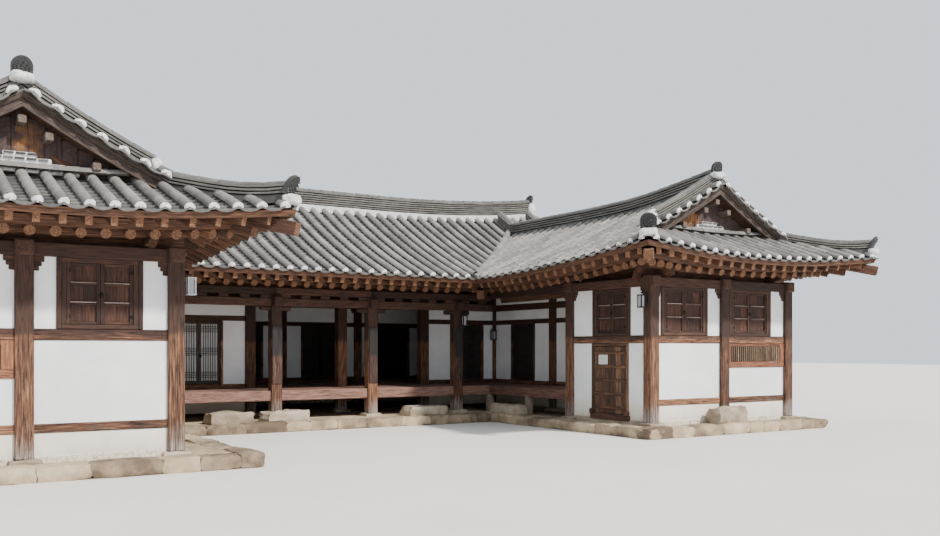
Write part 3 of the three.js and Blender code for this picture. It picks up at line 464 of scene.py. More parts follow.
# Dark above about 1.8 m: painted shade under the eaves; worn orange wood and grey feet below.
TIMBER = timber_finish(
    "weathered_timber_painted_shade",
    dark=((0.022, 0.011, 0.008), (0.054, 0.024, 0.015), (0.115, 0.053, 0.032)),
    worn=((0.028, 0.013, 0.009), (0.120, 0.051, 0.027), (0.36, 0.18, 0.09)),
    foot=((0.09, 0.07, 0.06), (0.43, 0.385, 0.34)),
    painted_shade_line=1.78, foot_top=0.62,
)
EAVES_TIMBER = plain_wood("eaves_timber", (0.030, 0.013, 0.008), (0.092, 0.038, 0.019), (0.27, 0.13, 0.066))
SHUTTER = plain_wood("shutter_boards", (0.018, 0.009, 0.007), (0.047, 0.021, 0.013), (0.10, 0.045, 0.026))
PLANKS = plain_wood("plank_door_boards", (0.028, 0.016, 0.011), (0.128, 0.062, 0.036), (0.32, 0.178, 0.105))
ORANGE = plain_wood("fresh_boards", (0.07, 0.026, 0.013), (0.26, 0.105, 0.052), (0.47, 0.235, 0.125))
BOARDS = plain_wood("floor_boards", (0.075, 0.036, 0.026), (0.20, 0.105, 0.078), (0.36, 0.215, 0.17))
DARK = plain_wood("dark_boards", (0.008, 0.006, 0.006), (0.018, 0.013, 0.012), (0.035, 0.026, 0.022))
PLASTER = make_plaster()
TILE = make_tile()
# Ridge tiles darkened to 0.58: painted shade on the ridges.
SHADED_RIDGE_TILE = make_tile("ridge_tile", 0.58)
SOFFIT = plain_wood("soffit_timber", (0.05, 0.026, 0.016), (0.12, 0.066, 0.04), (0.22, 0.14, 0.09))
PALE_WOOD = plain_wood("pale_bars", (0.10, 0.055, 0.03), (0.26, 0.16, 0.095), (0.46, 0.32, 0.20))
# Pale strips on the shutter rails: painted highlights.
HIGHLIGHT_WOOD = plain_wood("painted_edge_highlights", (0.14, 0.10, 0.08), (0.36, 0.29, 0.25), (0.55, 0.49, 0.45))
LATTICE_WOOD = plain_wood("lattice_wood", (0.035, 0.026, 0.021), (0.075, 0.057, 0.045), (0.14, 0.11, 0.09))
PANEL_WOOD = plain_wood("shutter_panels", (0.018, 0.008, 0.006), (0.048, 0.019, 0.012), (0.12, 0.048, 0.027))
VERGE_WOOD = plain_wood("verge_boards", (0.026, 0.017, 0.013), (0.066, 0.045, 0.036), (0.18, 0.135, 0.11))
# Dark above about 1.45 m: painted shade under the eaves.
HUNG_BOARD = timber_finish(
    "hung_boards",
    dark=((0.010, 0.008, 0.008), (0.021, 0.017, 0.017), (0.06, 0.048, 0.046)),
    worn=((0.014, 0.009, 0.008), (0.06, 0.029, 0.021), (0.17, 0.09, 0.065)),
    foot=((0.06, 0.029, 0.021), (0.17, 0.09, 0.065)),
    painted_shade_line=1.45, foot_top=-9.0,
)
GABLE_WALL = make_gable_wall()
LAMP_GLASS = make_plain("lantern_glass", (0.40, 0.40, 0.45), 0.4, 0.2, 9.0)
# Black for the ridge joints, and painted shade behind the vent bars.
BLACK_JOINTS_AND_SHADE = make_plain("black_joints_and_vent_shade", (0.012, 0.012, 0.012), 1.0, 0.4, 20.0)
BED = make_bed()
MORTAR = make_mortar()
CREAM = make_mortar("soffit_plaster", (0.72, 0.66, 0.55))
PLATFORM_STONE = make_stone(
    "platform_stone", ((0.14, 0.10, 0.065), (0.42, 0.325, 0.215), (0.70, 0.585, 0.42)))
FOOT_STONE = make_stone("foot_stone", ((0.26, 0.20, 0.145), (0.47, 0.395, 0.295), (0.66, 0.575, 0.45)), 4.0)
IRON = make_plain("black_iron", (0.02, 0.018, 0.016), 0.55, 0.4, 80.0, 0.9)
PAPER = make_plain("door_paper", (0.62, 0.62, 0.62), 0.9, 0.12, 6.0)


# Pieces


class Piece:
    """A mesh in the making, joined from small shapes."""

    def __init__(self, name, finish, slot, body="house", stands_for=()):
        self.name = name
        self.finish = finish
        self.slot = slot
        self.body = body
        self.stands_for = stands_for
        self.meshes = []

    def add(self, bm, matrix=None):
        if matrix is not None:
            bmesh.ops.transform(bm, matrix=matrix, verts=bm.verts)
            if matrix.determinant() < 0:
                flip(bm)
        self.meshes.append(as_mesh(bm, "part"))

    def close(self, smooth=None):
        bm = start()
        for mesh in self.meshes:
            take(bm, mesh)
        move(bm, SHIFT)
        mesh = as_mesh(bm, self.name)
        made = bpy.data.objects.new(self.name, mesh)
        bpy.context.scene.collection.objects.link(made)
        mesh.materials.append(self.finish)
        if smooth:
            mesh.shade_smooth()
            mesh.set_sharp_from_angle(angle=math.radians(smooth))
        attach(made, self.body)
        if self.stands_for:
            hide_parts(*self.stands_for)


def start():
    """An empty bmesh with the layers that the finishes read."""
    bm = bmesh.new()
    bm.verts.layers.float_vector.new("grain")
    bm.verts.layers.float.new("tone")
    return bm


def as_mesh(bm, name):
    mesh = bpy.data.meshes.new(name)
    bm.to_mesh(mesh)
    bm.free()
    return mesh


def take(bm, mesh):
    bm.from_mesh(mesh)
    bpy.data.meshes.remove(mesh)


def move(bm, way):
    bmesh.ops.translate(bm, vec=way, verts=bm.verts)


def resize(bm, size):
    bmesh.ops.scale(bm, vec=size, verts=bm.verts)


def turn(bm, degrees, axis):
    bmesh.ops.rotate(bm, matrix=Matrix.Rotation(math.radians(degrees), 3, axis), verts=bm.verts)


def flip(bm):
    bmesh.ops.reverse_faces(bm, faces=bm.faces)


def soften(bm, edges, offset):
    """Breaks sharp edges with one flat."""
    bmesh.ops.bevel(bm, geom=edges, offset=offset, segments=1, affect="EDGES", profile=0.5, material=-1)


def split_along(bm, axis, cuts, fill=True):
    """Cuts the edges that run along one axis into even lengths."""
    edges = [e for e in bm.edges if abs(e.verts[0].co[axis] - e.verts[1].co[axis]) > 1e-3]
    bmesh.ops.subdivide_edges(bm, edges=edges, cuts=cuts, use_grid_fill=fill)


def trim(bm, cuts):
    """Takes away what lies beyond each cut, a point on a plane and the way that goes."""
    for point, outward in cuts:
        geometry = [*bm.verts, *bm.edges, *bm.faces]
        bmesh.ops.bisect_plane(bm, geom=geometry, plane_co=point, plane_no=outward, clear_outer=True)


def roughen(bm, scale, offset, depth):
    """Moves each vertex by a noise of its own place."""
    for vert in bm.verts:
        vert.co += noise.noise_vector(vert.co * scale + offset) * depth


def block(size):
    """A box about the origin."""
    bm = start()
    bmesh.ops.create_cube(bm, size=1)
    resize(bm, size)
    return bm


def worn_block(cuts, wear):
    """A unit cube of small faces, its corners worn round."""
    bm = start()
    bmesh.ops.create_cube(bm, size=1)
    bmesh.ops.subdivide_edges(bm, edges=bm.edges[:], cuts=cuts, use_grid_fill=True)
    for vert in bm.verts:
        vert.co *= 1 - wear * (vert.co.length / HALF_DIAGONAL) ** 3
    return bm


def mark(bm, axis=0, tone=None):
    """Writes each vertex's place along and across the grain, from the part's own centre."""
    grain = bm.verts.layers.float_vector["grain"]
    shade = bm.verts.layers.float["tone"]
    offset = Vector((random.uniform(0, 50), random.uniform(0, 5), random.uniform(0, 5)))
    tone = random.uniform(-0.5, 0.5) if tone is None else tone
    for v in bm.verts:
        order = (v.co[axis], v.co[(axis + 1) % 3], v.co[(axis + 2) % 3])
        v[grain] = Vector(order) + offset
        v[shade] = tone


def lighten_ends(bm, axis, tone):
    """End grain is paler than the sides of a rafter."""
    shade = bm.verts.layers.float["tone"]
    reach = max(v.co[axis] for v in bm.verts) - 1e-4
    for vert in bm.verts:
        if abs(vert.co[axis]) > reach:
            vert[shade] = tone


def timber(piece, low, high, matrix=None, axis=None, bevel=BEVEL, tone=None):
    """One squared timber between two corners; its grain runs along its longest side, or else axis."""
    low, high = Vector(map(min, low, high)), Vector(map(max, low, high))
    size = high - low
    axis = max(range(3), key=lambda i: size[i]) if axis is None else axis
    bm = block(size)
    if bevel:
        soften(bm, bm.edges, min(bevel, 0.3 * min(size)))
    mark(bm, axis, tone)
    move(bm, (low + high) / 2)
    piece.add(bm, matrix)


def pole(piece, foot, head, radius, sides=8, tip=None, bevel=0.0, end_tone=None):
    """One round timber or bar between two points."""
    foot, head = Vector(foot), Vector(head)
    bm = start()
    bmesh.ops.create_cone(
        bm, cap_ends=True, segments=sides, radius1=radius, radius2=radius if tip is None else tip,
        depth=(head - foot).length,
    )
    if bevel:
        rims = [e for e in bm.edges if abs(e.verts[0].co.z - e.verts[1].co.z) < SLACK]
        soften(bm, rims, bevel)
    mark(bm, 2)
    if end_tone is not None:
        lighten_ends(bm, 2, end_tone)
    set_between(piece, bm, foot, head, "Z", "Y")


def stick(piece, foot, head, width, height, bevel=0.005, *, end_tone):
    """One squared timber from point to point, its height kept upright."""
    foot, head = Vector(foot), Vector(head)
    bm = block(((head - foot).length, width, height))
    soften(bm, bm.edges, bevel)
    mark(bm, 0)
    lighten_ends(bm, 0, end_tone)
    set_between(piece, bm, foot, head, "X", "Z")


def set_between(piece, bm, foot, head, along, up):
    """Puts a shape made about the origin between two points."""
    facing = (head - foot).to_track_quat(along, up).to_matrix().to_4x4()
    piece.add(bm, Matrix.Translation((foot + head) / 2) @ facing)


def along_x(side, line, out):
    """A wall along X: u runs along it, w outwards from its middle."""
    return Matrix(((side, 0, 0, 0), (0, out, 0, line), (0, 0, 1, 0), (0, 0, 0, 1)))


def along_y(side, line, out):
    """A wall along Y on one side of the house."""
    return Matrix(((0, side * out, 0, side * line), (1, 0, 0, 0), (0, 0, 1, 0), (0, 0, 0, 1)))


# Roof surfaces


def slope(run):
    return EAVES + PITCH * run + CURVE * run * run


def near_corner(x, y, corner, reach):
    return max(0.0, 1 - math.hypot(abs(x) - corner[0], y - corner[1]) / reach)


def lift(x, y):
    return sum(LIFT * near_corner(x, y, c, LIFT_REACH) ** LIFT_POWER for c in CORNERS)


def swung(x, y):
    """The plan of the eaves swings out a little towards each corner."""
    out_x = sum(c[2] * near_corner(x, y, c, CORNER_BEND) ** 2 * CORNER_REACH for c in CORNERS)
    out_y = sum(c[3] * near_corner(x, y, c, CORNER_BEND) ** 2 * CORNER_REACH for c in CORNERS)
    return x + math.copysign(out_x, x * out_x), y + out_y


def wing_rise(x, y):
    along = min(max(0.0, 1 - (y - VERGE) / RISE_REACH), RISE_LIMIT)
    return WING_RISE * along**2 * max(0.0, 1 - abs(abs(x) - WING_CENTRE) / WING_RUN)


def end_rise(x, y):
    along = min(max(0.0, 1 - (END_VERGE - abs(x)) / RISE_REACH), RISE_LIMIT)
    return END_RISE * along**2 * max(0.0, 1 - abs(y - RIDGE_Y) / MIDDLE_RUN)


def court_slope(x, y):
    return slope(abs(x) - EAVE_COURT) + lift(x, y) + wing_rise(x, y)


def outer_slope(x, y):
    return slope(EAVE_OUTER - abs(x)) + lift(x, y) + wing_rise(x, y)


def front_skirt(x, y):
    return slope(y - EAVE_FRONT) + lift(x, y)


def porch_slope(x, y):
    return slope(y - EAVE_PORCH) + lift(x, y) + end_rise(x, y)


def back_slope(x, y):
    return slope(EAVE_BACK - y) + lift(x, y) + end_rise(x, y)


def end_skirt(x, y):
    return slope(EAVE_OUTER - abs(x)) + lift(x, y)


def top_at(x, y):
    """Height of the roof over a place in plan."""
    wing = min(court_slope(x, y), outer_slope(x, y), front_skirt(x, y) if y < VERGE else OUT_OF_PLAY)
    skirt = end_skirt(x, y) if abs(x) > END_VERGE else OUT_OF_PLAY
    middle = min(porch_slope(x, y), back_slope(x, y), skirt)
    if y < EAVE_PORCH:
        return wing
    return max(wing if y < RIDGE_Y else -OUT_OF_PLAY, middle)


class Field:
    """One slope: v runs along its eaves and t up it, in plan."""

    def __init__(self, point, height):
        self.point = point
        self.height = height
        self.ups = {}

    def at(self, v, t):
        x, y = self.point(v, t)
        return Vector((*swung(x, y), self.height(x, y)))

    def up(self, v, t):
        key = (round(v, 3), round(t, 3))
        if key not in self.ups:
            reach = 0.02
            across = self.at(v + reach, t) - self.at(v - reach, t)
            normal = across.cross(self.at(v, t + reach) - self.at(v, t - reach)).normalized()
            self.ups[key] = normal if normal.z > 0 else -normal
        return self.ups[key]

    def bend(self, bm, v):
        """Lays a flat shape, across, along and above, on the slope at row v."""
        for vert in bm.verts:
            a, t, b = vert.co
            vert.co = self.at(v + a, t) + self.up(v, t) * b

    def mirrored(self, v):
        """Whether a shape laid on this slope comes out inside out."""
        spot = self.at(v, 0.3)
        return (self.at(v + 0.1, 0.3) - spot).cross(self.at(v, 0.6) - spot).z < 0


def field_court(side):
    return Field(lambda v, t: (side * (EAVE_COURT + t), v), court_slope)


def field_outer(side):
    return Field(lambda v, t: (side * (EAVE_OUTER - t), v), outer_slope)


def field_end(side):
    return Field(lambda v, t: (side * (EAVE_OUTER - t), v), end_skirt)


def field_front(side):
    return Field(lambda v, t: (side * v, EAVE_FRONT + t), front_skirt)


def field_porch():
    return Field(lambda v, t: (v, EAVE_PORCH + t), porch_slope)


def field_back():
    return Field(lambda v, t: (v, EAVE_BACK - t), back_slope)


class Cuts:
    """Where one side's slopes meet: a point on each upright plane and the way that is cut off."""

    def __init__(self, side):
        def plane(x, y, out_x, out_y):
            return ((side * x, y, 0), (side * out_x, out_y, 0))

        self.court_ridge = plane(WING_CENTRE, 0, 1, 0)
        self.outer_ridge = plane(WING_CENTRE, 0, -1, 0)
        self.court_valley = plane(EAVE_COURT, EAVE_PORCH, -1, 1)
        self.porch_valley = plane(EAVE_COURT, EAVE_PORCH, 1, -1)
        self.outer_valley = plane(EAVE_OUTER, EAVE_PORCH, 1, 1)
        self.end_valley = plane(EAVE_OUTER, EAVE_PORCH, -1, -1)
        self.court_hip = plane(EAVE_COURT, EAVE_FRONT, 1, -1)
        self.outer_hip = plane(EAVE_OUTER, EAVE_FRONT, -1, -1)
        self.front_hips = [plane(EAVE_COURT, EAVE_FRONT, -1, 1), plane(EAVE_OUTER, EAVE_FRONT, 1, 1)]
        self.end_hip = plane(EAVE_OUTER, EAVE_BACK, -1, 1)
        self.back_hip = plane(EAVE_OUTER, EAVE_BACK, 1, -1)
        self.end_wall = plane(END_VERGE - 0.28, 0, -1, 0)
        self.end_edge = plane(END_VERGE, 0, 1, 0)
        self.verge_end = plane(END_VERGE - 0.2, 0, -1, 0)


CUTS = {side: Cuts(side) for side, label in SIDES}
VALLEYS = [CUTS[side].porch_valley for side in CUTS]
PORCH_RIDGE = ((0, RIDGE_Y, 0), (0, 1, 0))
BACK_RIDGE = ((0, RIDGE_Y, 0), (0, -1, 0))


# Tiles: flat rows in across, along, above; laid on the slopes afterwards

flat_rows = {}


def flat_row(kind, count):
    """A flat row of one kind, made once for each number of tiles."""
    if (kind, count) not in flat_rows:
        bm = roll_row(count) if kind == "roll" else trough_row(count)
        bmesh.ops.recalc_face_normals(bm, faces=bm.faces)
        if sum(f.normal.z for f in bm.faces) < 0:
            flip(bm)
        flat_rows[kind, count] = as_mesh(bm, "flat_row")
    return flat_rows[kind, count]


def draw_out(bm, rim, way, size=1.0):
    """Draws a rim of edges out along way, widened by size, and gives the new rim."""
    made = bmesh.ops.extrude_edge_only(bm, edges=rim)["geom"]
    ends = [g for g in made if isinstance(g, bmesh.types.BMVert)]
    bmesh.ops.scale(bm, vec=(size, 1, size), verts=ends)
    bmesh.ops.translate(bm, vec=way, verts=ends)
    return [g for g in made if isinstance(g, bmesh.types.BMEdge)]


def roll_row(count):
    """Cover tiles, each a little wider at its lower end."""
    bm = start()
    first = bm.verts.new((ROLL_RADIUS, -TILE_NOSE, 0))
    bmesh.ops.spin(bm, geom=[first], cent=(0, -TILE_NOSE, 0), axis=(0, 1, 0), angle=-math.pi, steps=6)
    rim = list(bm.edges)
    for _ in range(count):
        rim = draw_out(bm, rim, (0, ROLL_TILE - ROLL_LIP, 0), ROLL_TAPER)
        rim = draw_out(bm, rim, (0, ROLL_LIP, 0), 1 / ROLL_TAPER)
    move(bm, (0, 0, ROLL_LIFT))
    return bm


def trough_row(count):
    """Concave tiles, each lying on the one below it."""
    bm = start()
    half = ROW_STEP / 2
    sag = [(-half, 0.06), (-half * 0.5, 0.022), (0, 0.01), (half * 0.5, 0.022), (half, 0.06)]
    verts = [bm.verts.new((a, -TROUGH_NOSE, b - TROUGH_FACE)) for a, b in sag]
    rim = [bm.edges.new(pair) for pair in zip(verts, verts[1:])]
    rim = draw_out(bm, rim, (0, 0, TROUGH_FACE))
    for _ in range(count):
        rim = draw_out(bm, rim, (0, TROUGH_TILE - TROUGH_LIP, -TROUGH_STEP))
        rim = draw_out(bm, rim, (0, TROUGH_LIP, TROUGH_STEP))
    return bm


def shade_tiles(bm, length, tones=RIDGE_TONES):
    """Gives each tile of a flat row a tone of its own; the concave tiles' low tones are painted shade."""
    shade = bm.verts.layers.float["tone"]
    darkest, reach = tones
    row = random.uniform(-0.12, 0.12)
    chosen = {}
    for face in bm.faces:
        index = round((face.calc_center_median().y + TILE_NOSE) / length - 0.5)
        tone = chosen.setdefault(index, row + darkest + random.random() * reach)
        for vert in face.verts:
            vert[shade] = tone


def lay_rows(piece, caps, field, centres, run, cuts):
    """Lays cover and trough tiles up a slope and trims them at hips, valleys and ridge."""
    whole = start()
    for v in centres:
        for kind, length, offset, tones in TILE_KINDS:
            row = start()
            row.from_mesh(flat_row(kind, math.ceil((run + 0.05) / length)))
            shade_tiles(row, length, tones)
            move(row, (offset, 0, 0))
            field.bend(row, v)
            take(whole, as_mesh(row, "row"))
        if caps is not None:
            end_cap(caps, field, v, cuts)
    if field.mirrored(centres[0]):
        flip(whole)
    trim(whole, cuts)
    piece.add(whole)


def end_cap(caps, field, v, cuts):
    """The lump of white mortar in the open end of a row of cover tiles, clear of the cuts."""
    spot = field.at(v, 0)
    if any((spot - Vector(point)).dot(Vector(outward)) > -0.05 for point, outward in cuts):
        return
    bm = start()
    bmesh.ops.create_uvsphere(bm, u_segments=8, v_segments=6, radius=1)
    for vert in bm.verts:
        vert.co.z = max(vert.co.z, -0.35)
    resize(bm, (0.067, 0.024, 0.058))
    move(bm, (0, -0.022, 0.048))
    roughen(bm, 24, spot, 0.011)
    field.bend(bm, v)
    if field.mirrored(v):
        flip(bm)
    caps.add(bm)


def spread(low, high, step=ROW_STEP):
    """Even places from low to high, about a step apart."""
    count = max(1, round((high - low) / step))
    return [low + (high - low) * i / count for i in range(count + 1)]


def rows_to(low, high):
    """Rows a step apart from low, none beyond high."""
    return [low + i * ROW_STEP for i in range(int((high - low) / ROW_STEP) + 1)]


def wing_tiles(side, piece, caps):
    """Court slope, outer slope and front skirt of one wing."""
    cuts = CUTS[side]
    first = VERGE + EDGE_ROW
    court = rows_to(first, EAVE_PORCH + WING_RUN)
    lay_rows(piece, caps, field_court(side), court, WING_RUN, [cuts.court_ridge, cuts.court_valley])
    corner = [first - i * ROW_STEP for i in range(1, 5)]
    lay_rows(piece, caps, field_court(side), corner, SKIRT_RUN, [cuts.court_hip])

    outer = rows_to(first, EAVE_PORCH + END_RUN)
    lay_rows(piece, caps, field_outer(side), outer, WING_RUN, [cuts.outer_ridge])
    upper = [outer[-1] + i * ROW_STEP for i in range(1, 5)]
    lay_rows(piece, None, field_outer(side), upper, WING_RUN, [cuts.outer_ridge, cuts.outer_valley])
    end = rows_to(outer[-1], EAVE_BACK - END_RUN)[1:]
    lay_rows(piece, caps, field_end(side), end, END_RUN + TUCKED, [cuts.end_wall])
    last = rows_to(end[-1], EAVE_BACK - 0.1)[1:]
    lay_rows(piece, caps, field_end(side), last, END_RUN + TUCKED, [cuts.end_hip, cuts.end_wall])
    lay_rows(piece, caps, field_outer(side), corner, SKIRT_RUN, [cuts.outer_hip])

    skirt_cuts = [*cuts.front_hips, ((0, VERGE + 0.24, 0), (0, 1, 0))]
    across = spread(EAVE_COURT + 0.13, EAVE_OUTER - 0.13)
    lay_rows(piece, caps, field_front(side), across, SKIRT_RUN + TUCKED, skirt_cuts)
    for way, height, low, high in (
        (1, court_slope, EAVE_COURT + SKIRT_RUN + 0.05, WING_CENTRE - 0.1),
        (-1, outer_slope, WING_CENTRE + 0.1, EAVE_OUTER - SKIRT_RUN - 0.05),
    ):
        verge = Field(lambda v, t: (side * v, VERGE - VERGE_TILE_OUT + t), height)
        verge_cuts = [((0, VERGE + 0.2, 0), (0, 1, 0)), ((side * WING_CENTRE, 0, 0), (side * way, 0, 0))]
        lay_rows(piece, caps, verge, spread(low, high), VERGE_TILE_RUN, verge_cuts)


def middle_tiles(piece, caps):
    """Porch slope and back slope of the middle, with the verges at both ends."""
    centre = spread(EDGE_ROW - END_VERGE, END_VERGE - EDGE_ROW)
    half = (centre[1] - centre[0]) / 2
    inner = [v for v in centre if abs(v) <= EAVE_COURT - 0.02]
    lay_rows(piece, caps, field_porch(), inner, MIDDLE_RUN, [PORCH_RIDGE, *VALLEYS])
    for side, cuts in CUTS.items():
        rows = [v for v in centre if v * side > 0 and side * (v + half) < WING_CENTRE and v not in inner]
        lay_rows(piece, None, field_porch(), rows, MIDDLE_RUN, [PORCH_RIDGE, cuts.porch_valley])
    for side, cuts in CUTS.items():
        rows = [v for v in centre if WING_CENTRE <= side * (v + half)]
        lay_rows(piece, None, field_porch(), rows, MIDDLE_RUN, [PORCH_RIDGE, cuts.end_valley, cuts.end_edge])
    lay_rows(piece, caps, field_back(), centre[:-1], MIDDLE_RUN, [BACK_RIDGE])
    for side, cuts in CUTS.items():
        rows = [side * v for v in spread(END_VERGE + 0.2, EAVE_OUTER - 0.1)]
        lay_rows(piece, caps, field_back(), rows, END_RUN, [cuts.back_hip])
        for ridge, height, low, high in (
            (PORCH_RIDGE, porch_slope, EAVE_PORCH + END_RUN + 0.05, RIDGE_Y - 0.1),
            (BACK_RIDGE, back_slope, RIDGE_Y + 0.1, EAVE_BACK - END_RUN - 0.05),
        ):
            verge = Field(lambda v, t: (side * (END_VERGE + VERGE_TILE_OUT - t), v), height)
            lay_rows(piece, caps, verge, spread(low, high), VERGE_TILE_RUN, [cuts.verge_end, ridge])


def roof_tiles():
    caps = Piece("tile_end_mortar", MORTAR, "plaster")
    for side, label in SIDES:
        piece = Piece(f"{label}_wing_tiles", TILE, "tile", stands_for=[f"{label}_wing_roof"])
        wing_tiles(side, piece, caps)
        piece.close(40)
    piece = Piece("middle_tiles", TILE, "tile", stands_for=["middle_roof"])
    middle_tiles(piece, caps)
    piece.close(40)
    caps.close(60)


# Ridges: mortar bed, courses of thin tiles and a row of cover tiles, laid along lines over the roof


class Path:
    """A straight line in plan over the roof; s runs along it from its start."""

    def __init__(self, first, last, rise=None):
        self.first = Vector(first)
        self.way = Vector(last) - self.first
        self.length = self.way.length
        self.rise = rise

    def at(self, s):
        x, y = self.first + self.way * (s / self.length)
        extra = self.rise(s / self.length) if self.rise else 0
        return Vector((*swung(x, y), top_at(x, y) + extra))

    def across(self):
        return Vector((self.way.y, -self.way.x, 0)).normalized()

    def bend(self, bm):
        for vert in bm.verts:
            a, s, b = vert.co
            vert.co = self.at(s) + self.across() * a + Vector((0, 0, b))


def ridge_band(piece, path, half, low, high, tone=0.3):
    """One course along a ridge, cut into its separate tiles by tone."""
    bm = block((2 * half, path.length, high - low))
    split_along(bm, 1, max(1, round(path.length / COURSE_TILE)))
    move(bm, (0, path.length / 2, (low + high) / 2))
    mark(bm, 1)
    shade = bm.verts.layers.float["tone"]
    for vert in bm.verts:
        vert[shade] = tone + random.uniform(-0.25, 0.25)
        vert.co.x += random.uniform(-0.003, 0.003)
        vert.co.z += random.uniform(-0.0025, 0.0025)
    path.bend(bm)
    piece.add(bm)


def cover_run(length, count, size=1.0):
    """A row of cover tiles stretched to a length."""
    bm = start()
    bm.from_mesh(flat_row("roll", count))
    shade_tiles(bm, ROLL_TILE)
    resize(bm, (size, length / (count * ROLL_TILE), size))
    return bm


def ridge_cover(piece, path, radius, low):
    """Cover tiles on top of a ridge."""
    size = radius / ROLL_RADIUS
    bm = cover_run(path.length, math.ceil(path.length / ROLL_TILE), size)
    move(bm, (0, TILE_NOSE, low - ROLL_LIFT * size))
    path.bend(bm)
    piece.add(bm)


def ridge_courses(tiles, base, path, half, foot, count, thick):
    """A whole ridge body: its base, courses of thin tiles over deep black joints, cover tiles on top."""
    top = foot + count * thick
    ridge_band(base, path, half - 0.012, -0.04, foot, 0.35)
    ridge_band(RIDGE_JOINTS, path, half - 0.04, foot - 0.01, top)
    for index in range(count):
        low = foot + (index + COURSE_JOINT) * thick
        out = 0.006 if index % 2 else 0.0
        ridge_band(tiles, path, half + out, low, low + thick * COURSE_SOLID, 0.65)
    ridge_cover(tiles, path, half * 0.8, top - 0.014)


def arched_tile(radius, leg):
    """An end tile lying flat: a round head on straight sides, a rim, a sunk face and knobs."""
    bm = start()
    bmesh.ops.create_circle(bm, cap_ends=True, segments=24, radius=radius)
    for vert in bm.verts:
        if vert.co.y < -SLACK:
            vert.co.y = -leg
    bmesh.ops.inset_region(bm, faces=bm.faces[:], thickness=0.018, depth=0.0)
    face = min(bm.faces, key=lambda f: f.calc_center_median().length)
    bmesh.ops.inset_region(bm, faces=[face], thickness=0.004, depth=-0.014)
    raised = bmesh.ops.extrude_face_region(bm, geom=bm.faces[:])["geom"]
    verts = [g for g in raised if isinstance(g, bmesh.types.BMVert)]
    bmesh.ops.translate(bm, vec=(0, 0, -0.05), verts=verts)
    bmesh.ops.recalc_face_normals(bm, faces=bm.faces)
    for ring, count in ((0.0, 1), (0.45, 6), (0.72, 11)):
        for i in range(count):
            angle = math.tau * i / count + ring
            spot = Vector((math.cos(angle), math.sin(angle), 0)) * ring * radius
            if spot.y < 0:
                spot.y *= leg / radius
            bmesh.ops.create_icosphere(bm, subdivisions=1, radius=0.013, matrix=Matrix.Translation(spot))
    for vert in bm.verts:
        vert.co.z -= vert.co.x**2 * 1.6
    return bm


def end_tile(tiles, mortar, path, width, foot, high, lean, lump):
    """The end tile of a ridge, leaning out over a lump of white mortar."""
    ahead = path.way.normalized()
    facing = Matrix.Rotation(math.atan2(ahead.y, ahead.x) - math.pi / 2, 4, "Z")
    place = Matrix.Translation(path.at(path.length)) @ facing
    leg = high - width / 2
    bm = arched_tile(width / 2, leg)
    mark(bm, 1, -0.35)
    turn(bm, 90, "X")
    turn(bm, 180, "Z")
    turn(bm, -lean, "X")
    move(bm, (0, 0.06, foot + leg))
    tiles.add(bm, place)

    deep, low, top = lump
    bm = worn_block(5, 0.3)
    resize(bm, (width * 1.15, deep * 1.2, (top - low) * 1.15))
    move(bm, (0, 0.01, (low + top) / 2))
    roughen(bm, 11, path.at(0), 0.022)
    mark(bm)
    mortar.add(bm, place)


RIDGE_JOINTS = Piece("ridge_joints", BLACK_JOINTS_AND_SHADE, "tile")


def hip_rise(share):
    """A corner ridge turns up over the outer half of its length."""
    return HIP_RISE * (max(0.0, share - 0.5) / 0.5) ** 2


def wing_ridges(side, label):
    tiles = Piece(f"{label}_wing_ridge_tiles", SHADED_RIDGE_TILE, "tile", stands_for=[f"{label}_wing_ridge"])
    mortar = Piece(f"{label}_wing_ridge_mortar", MORTAR, "plaster")
    main = Path((side * WING_CENTRE, RIDGE_Y - 0.3), (side * WING_CENTRE, VERGE + 0.02))
    ridge_courses(tiles, tiles, main, *WING_MAIN_RIDGE)
    end_tile(tiles, mortar, main, *WING_END)
    y = VERGE + RIDGE_INSET
    for eave, inward in ((EAVE_COURT, 1), (EAVE_OUTER, -1)):
        inner = side * (eave + inward * (SKIRT_RUN + RIDGE_INSET))
        down = Path((side * WING_CENTRE, y), (inner, y))
        ridge_courses(tiles, tiles, down, *WING_DOWN_RIDGE)
        foot_lump(mortar, down)
        hip = Path((inner, y), (side * (eave + inward * 0.04), EAVE_FRONT + 0.04), hip_rise)
        ridge_courses(tiles, tiles, hip, *HIP_RIDGE)
        end_tile(tiles, mortar, hip, *HIP_END)
    tiles.close(40)
    mortar.close(60)


def foot_lump(mortar, path):
    """Mortar where a descending ridge meets the corner ridge."""
    bm = start()
    bmesh.ops.create_icosphere(bm, subdivisions=3, radius=0.1)
    for vert in bm.verts:
        vert.co.z *= 1.35
    spot = path.at(path.length)
    roughen(bm, 12, spot, 0.03)
    mark(bm)
    mortar.add(bm, Matrix.Translation(spot + Vector((0, -0.01, 0.175))))


def middle_ridges():
    tiles = Piece("middle_ridge_tiles", SHADED_RIDGE_TILE, "tile", stands_for=["middle_ridge"])
    mortar = Piece("middle_ridge_mortar", MORTAR, "plaster")
    for side in CUTS:
        main = Path((0, RIDGE_Y), (side * (END_VERGE - 0.02), RIDGE_Y))
        ridge_courses(tiles, mortar, main, *MIDDLE_MAIN_RIDGE)
        end_tile(tiles, mortar, main, *MIDDLE_END)
        x = side * (END_VERGE - RIDGE_INSET)
        back_foot = EAVE_BACK - END_RUN - RIDGE_INSET
        for last in (EAVE_PORCH + END_RUN + 0.26, back_foot):
            down = Path((x, RIDGE_Y), (x, last))
            ridge_courses(tiles, tiles, down, *MIDDLE_DOWN_RIDGE)
            foot_lump(mortar, down)
        hip = Path((x, back_foot), (side * (EAVE_OUTER - 0.04), EAVE_BACK - 0.04), hip_rise)
        ridge_courses(tiles, tiles, hip, *HIP_RIDGE)
        end_tile(tiles, mortar, hip, *HIP_END)
    tiles.close(40)
    mortar.close(60)


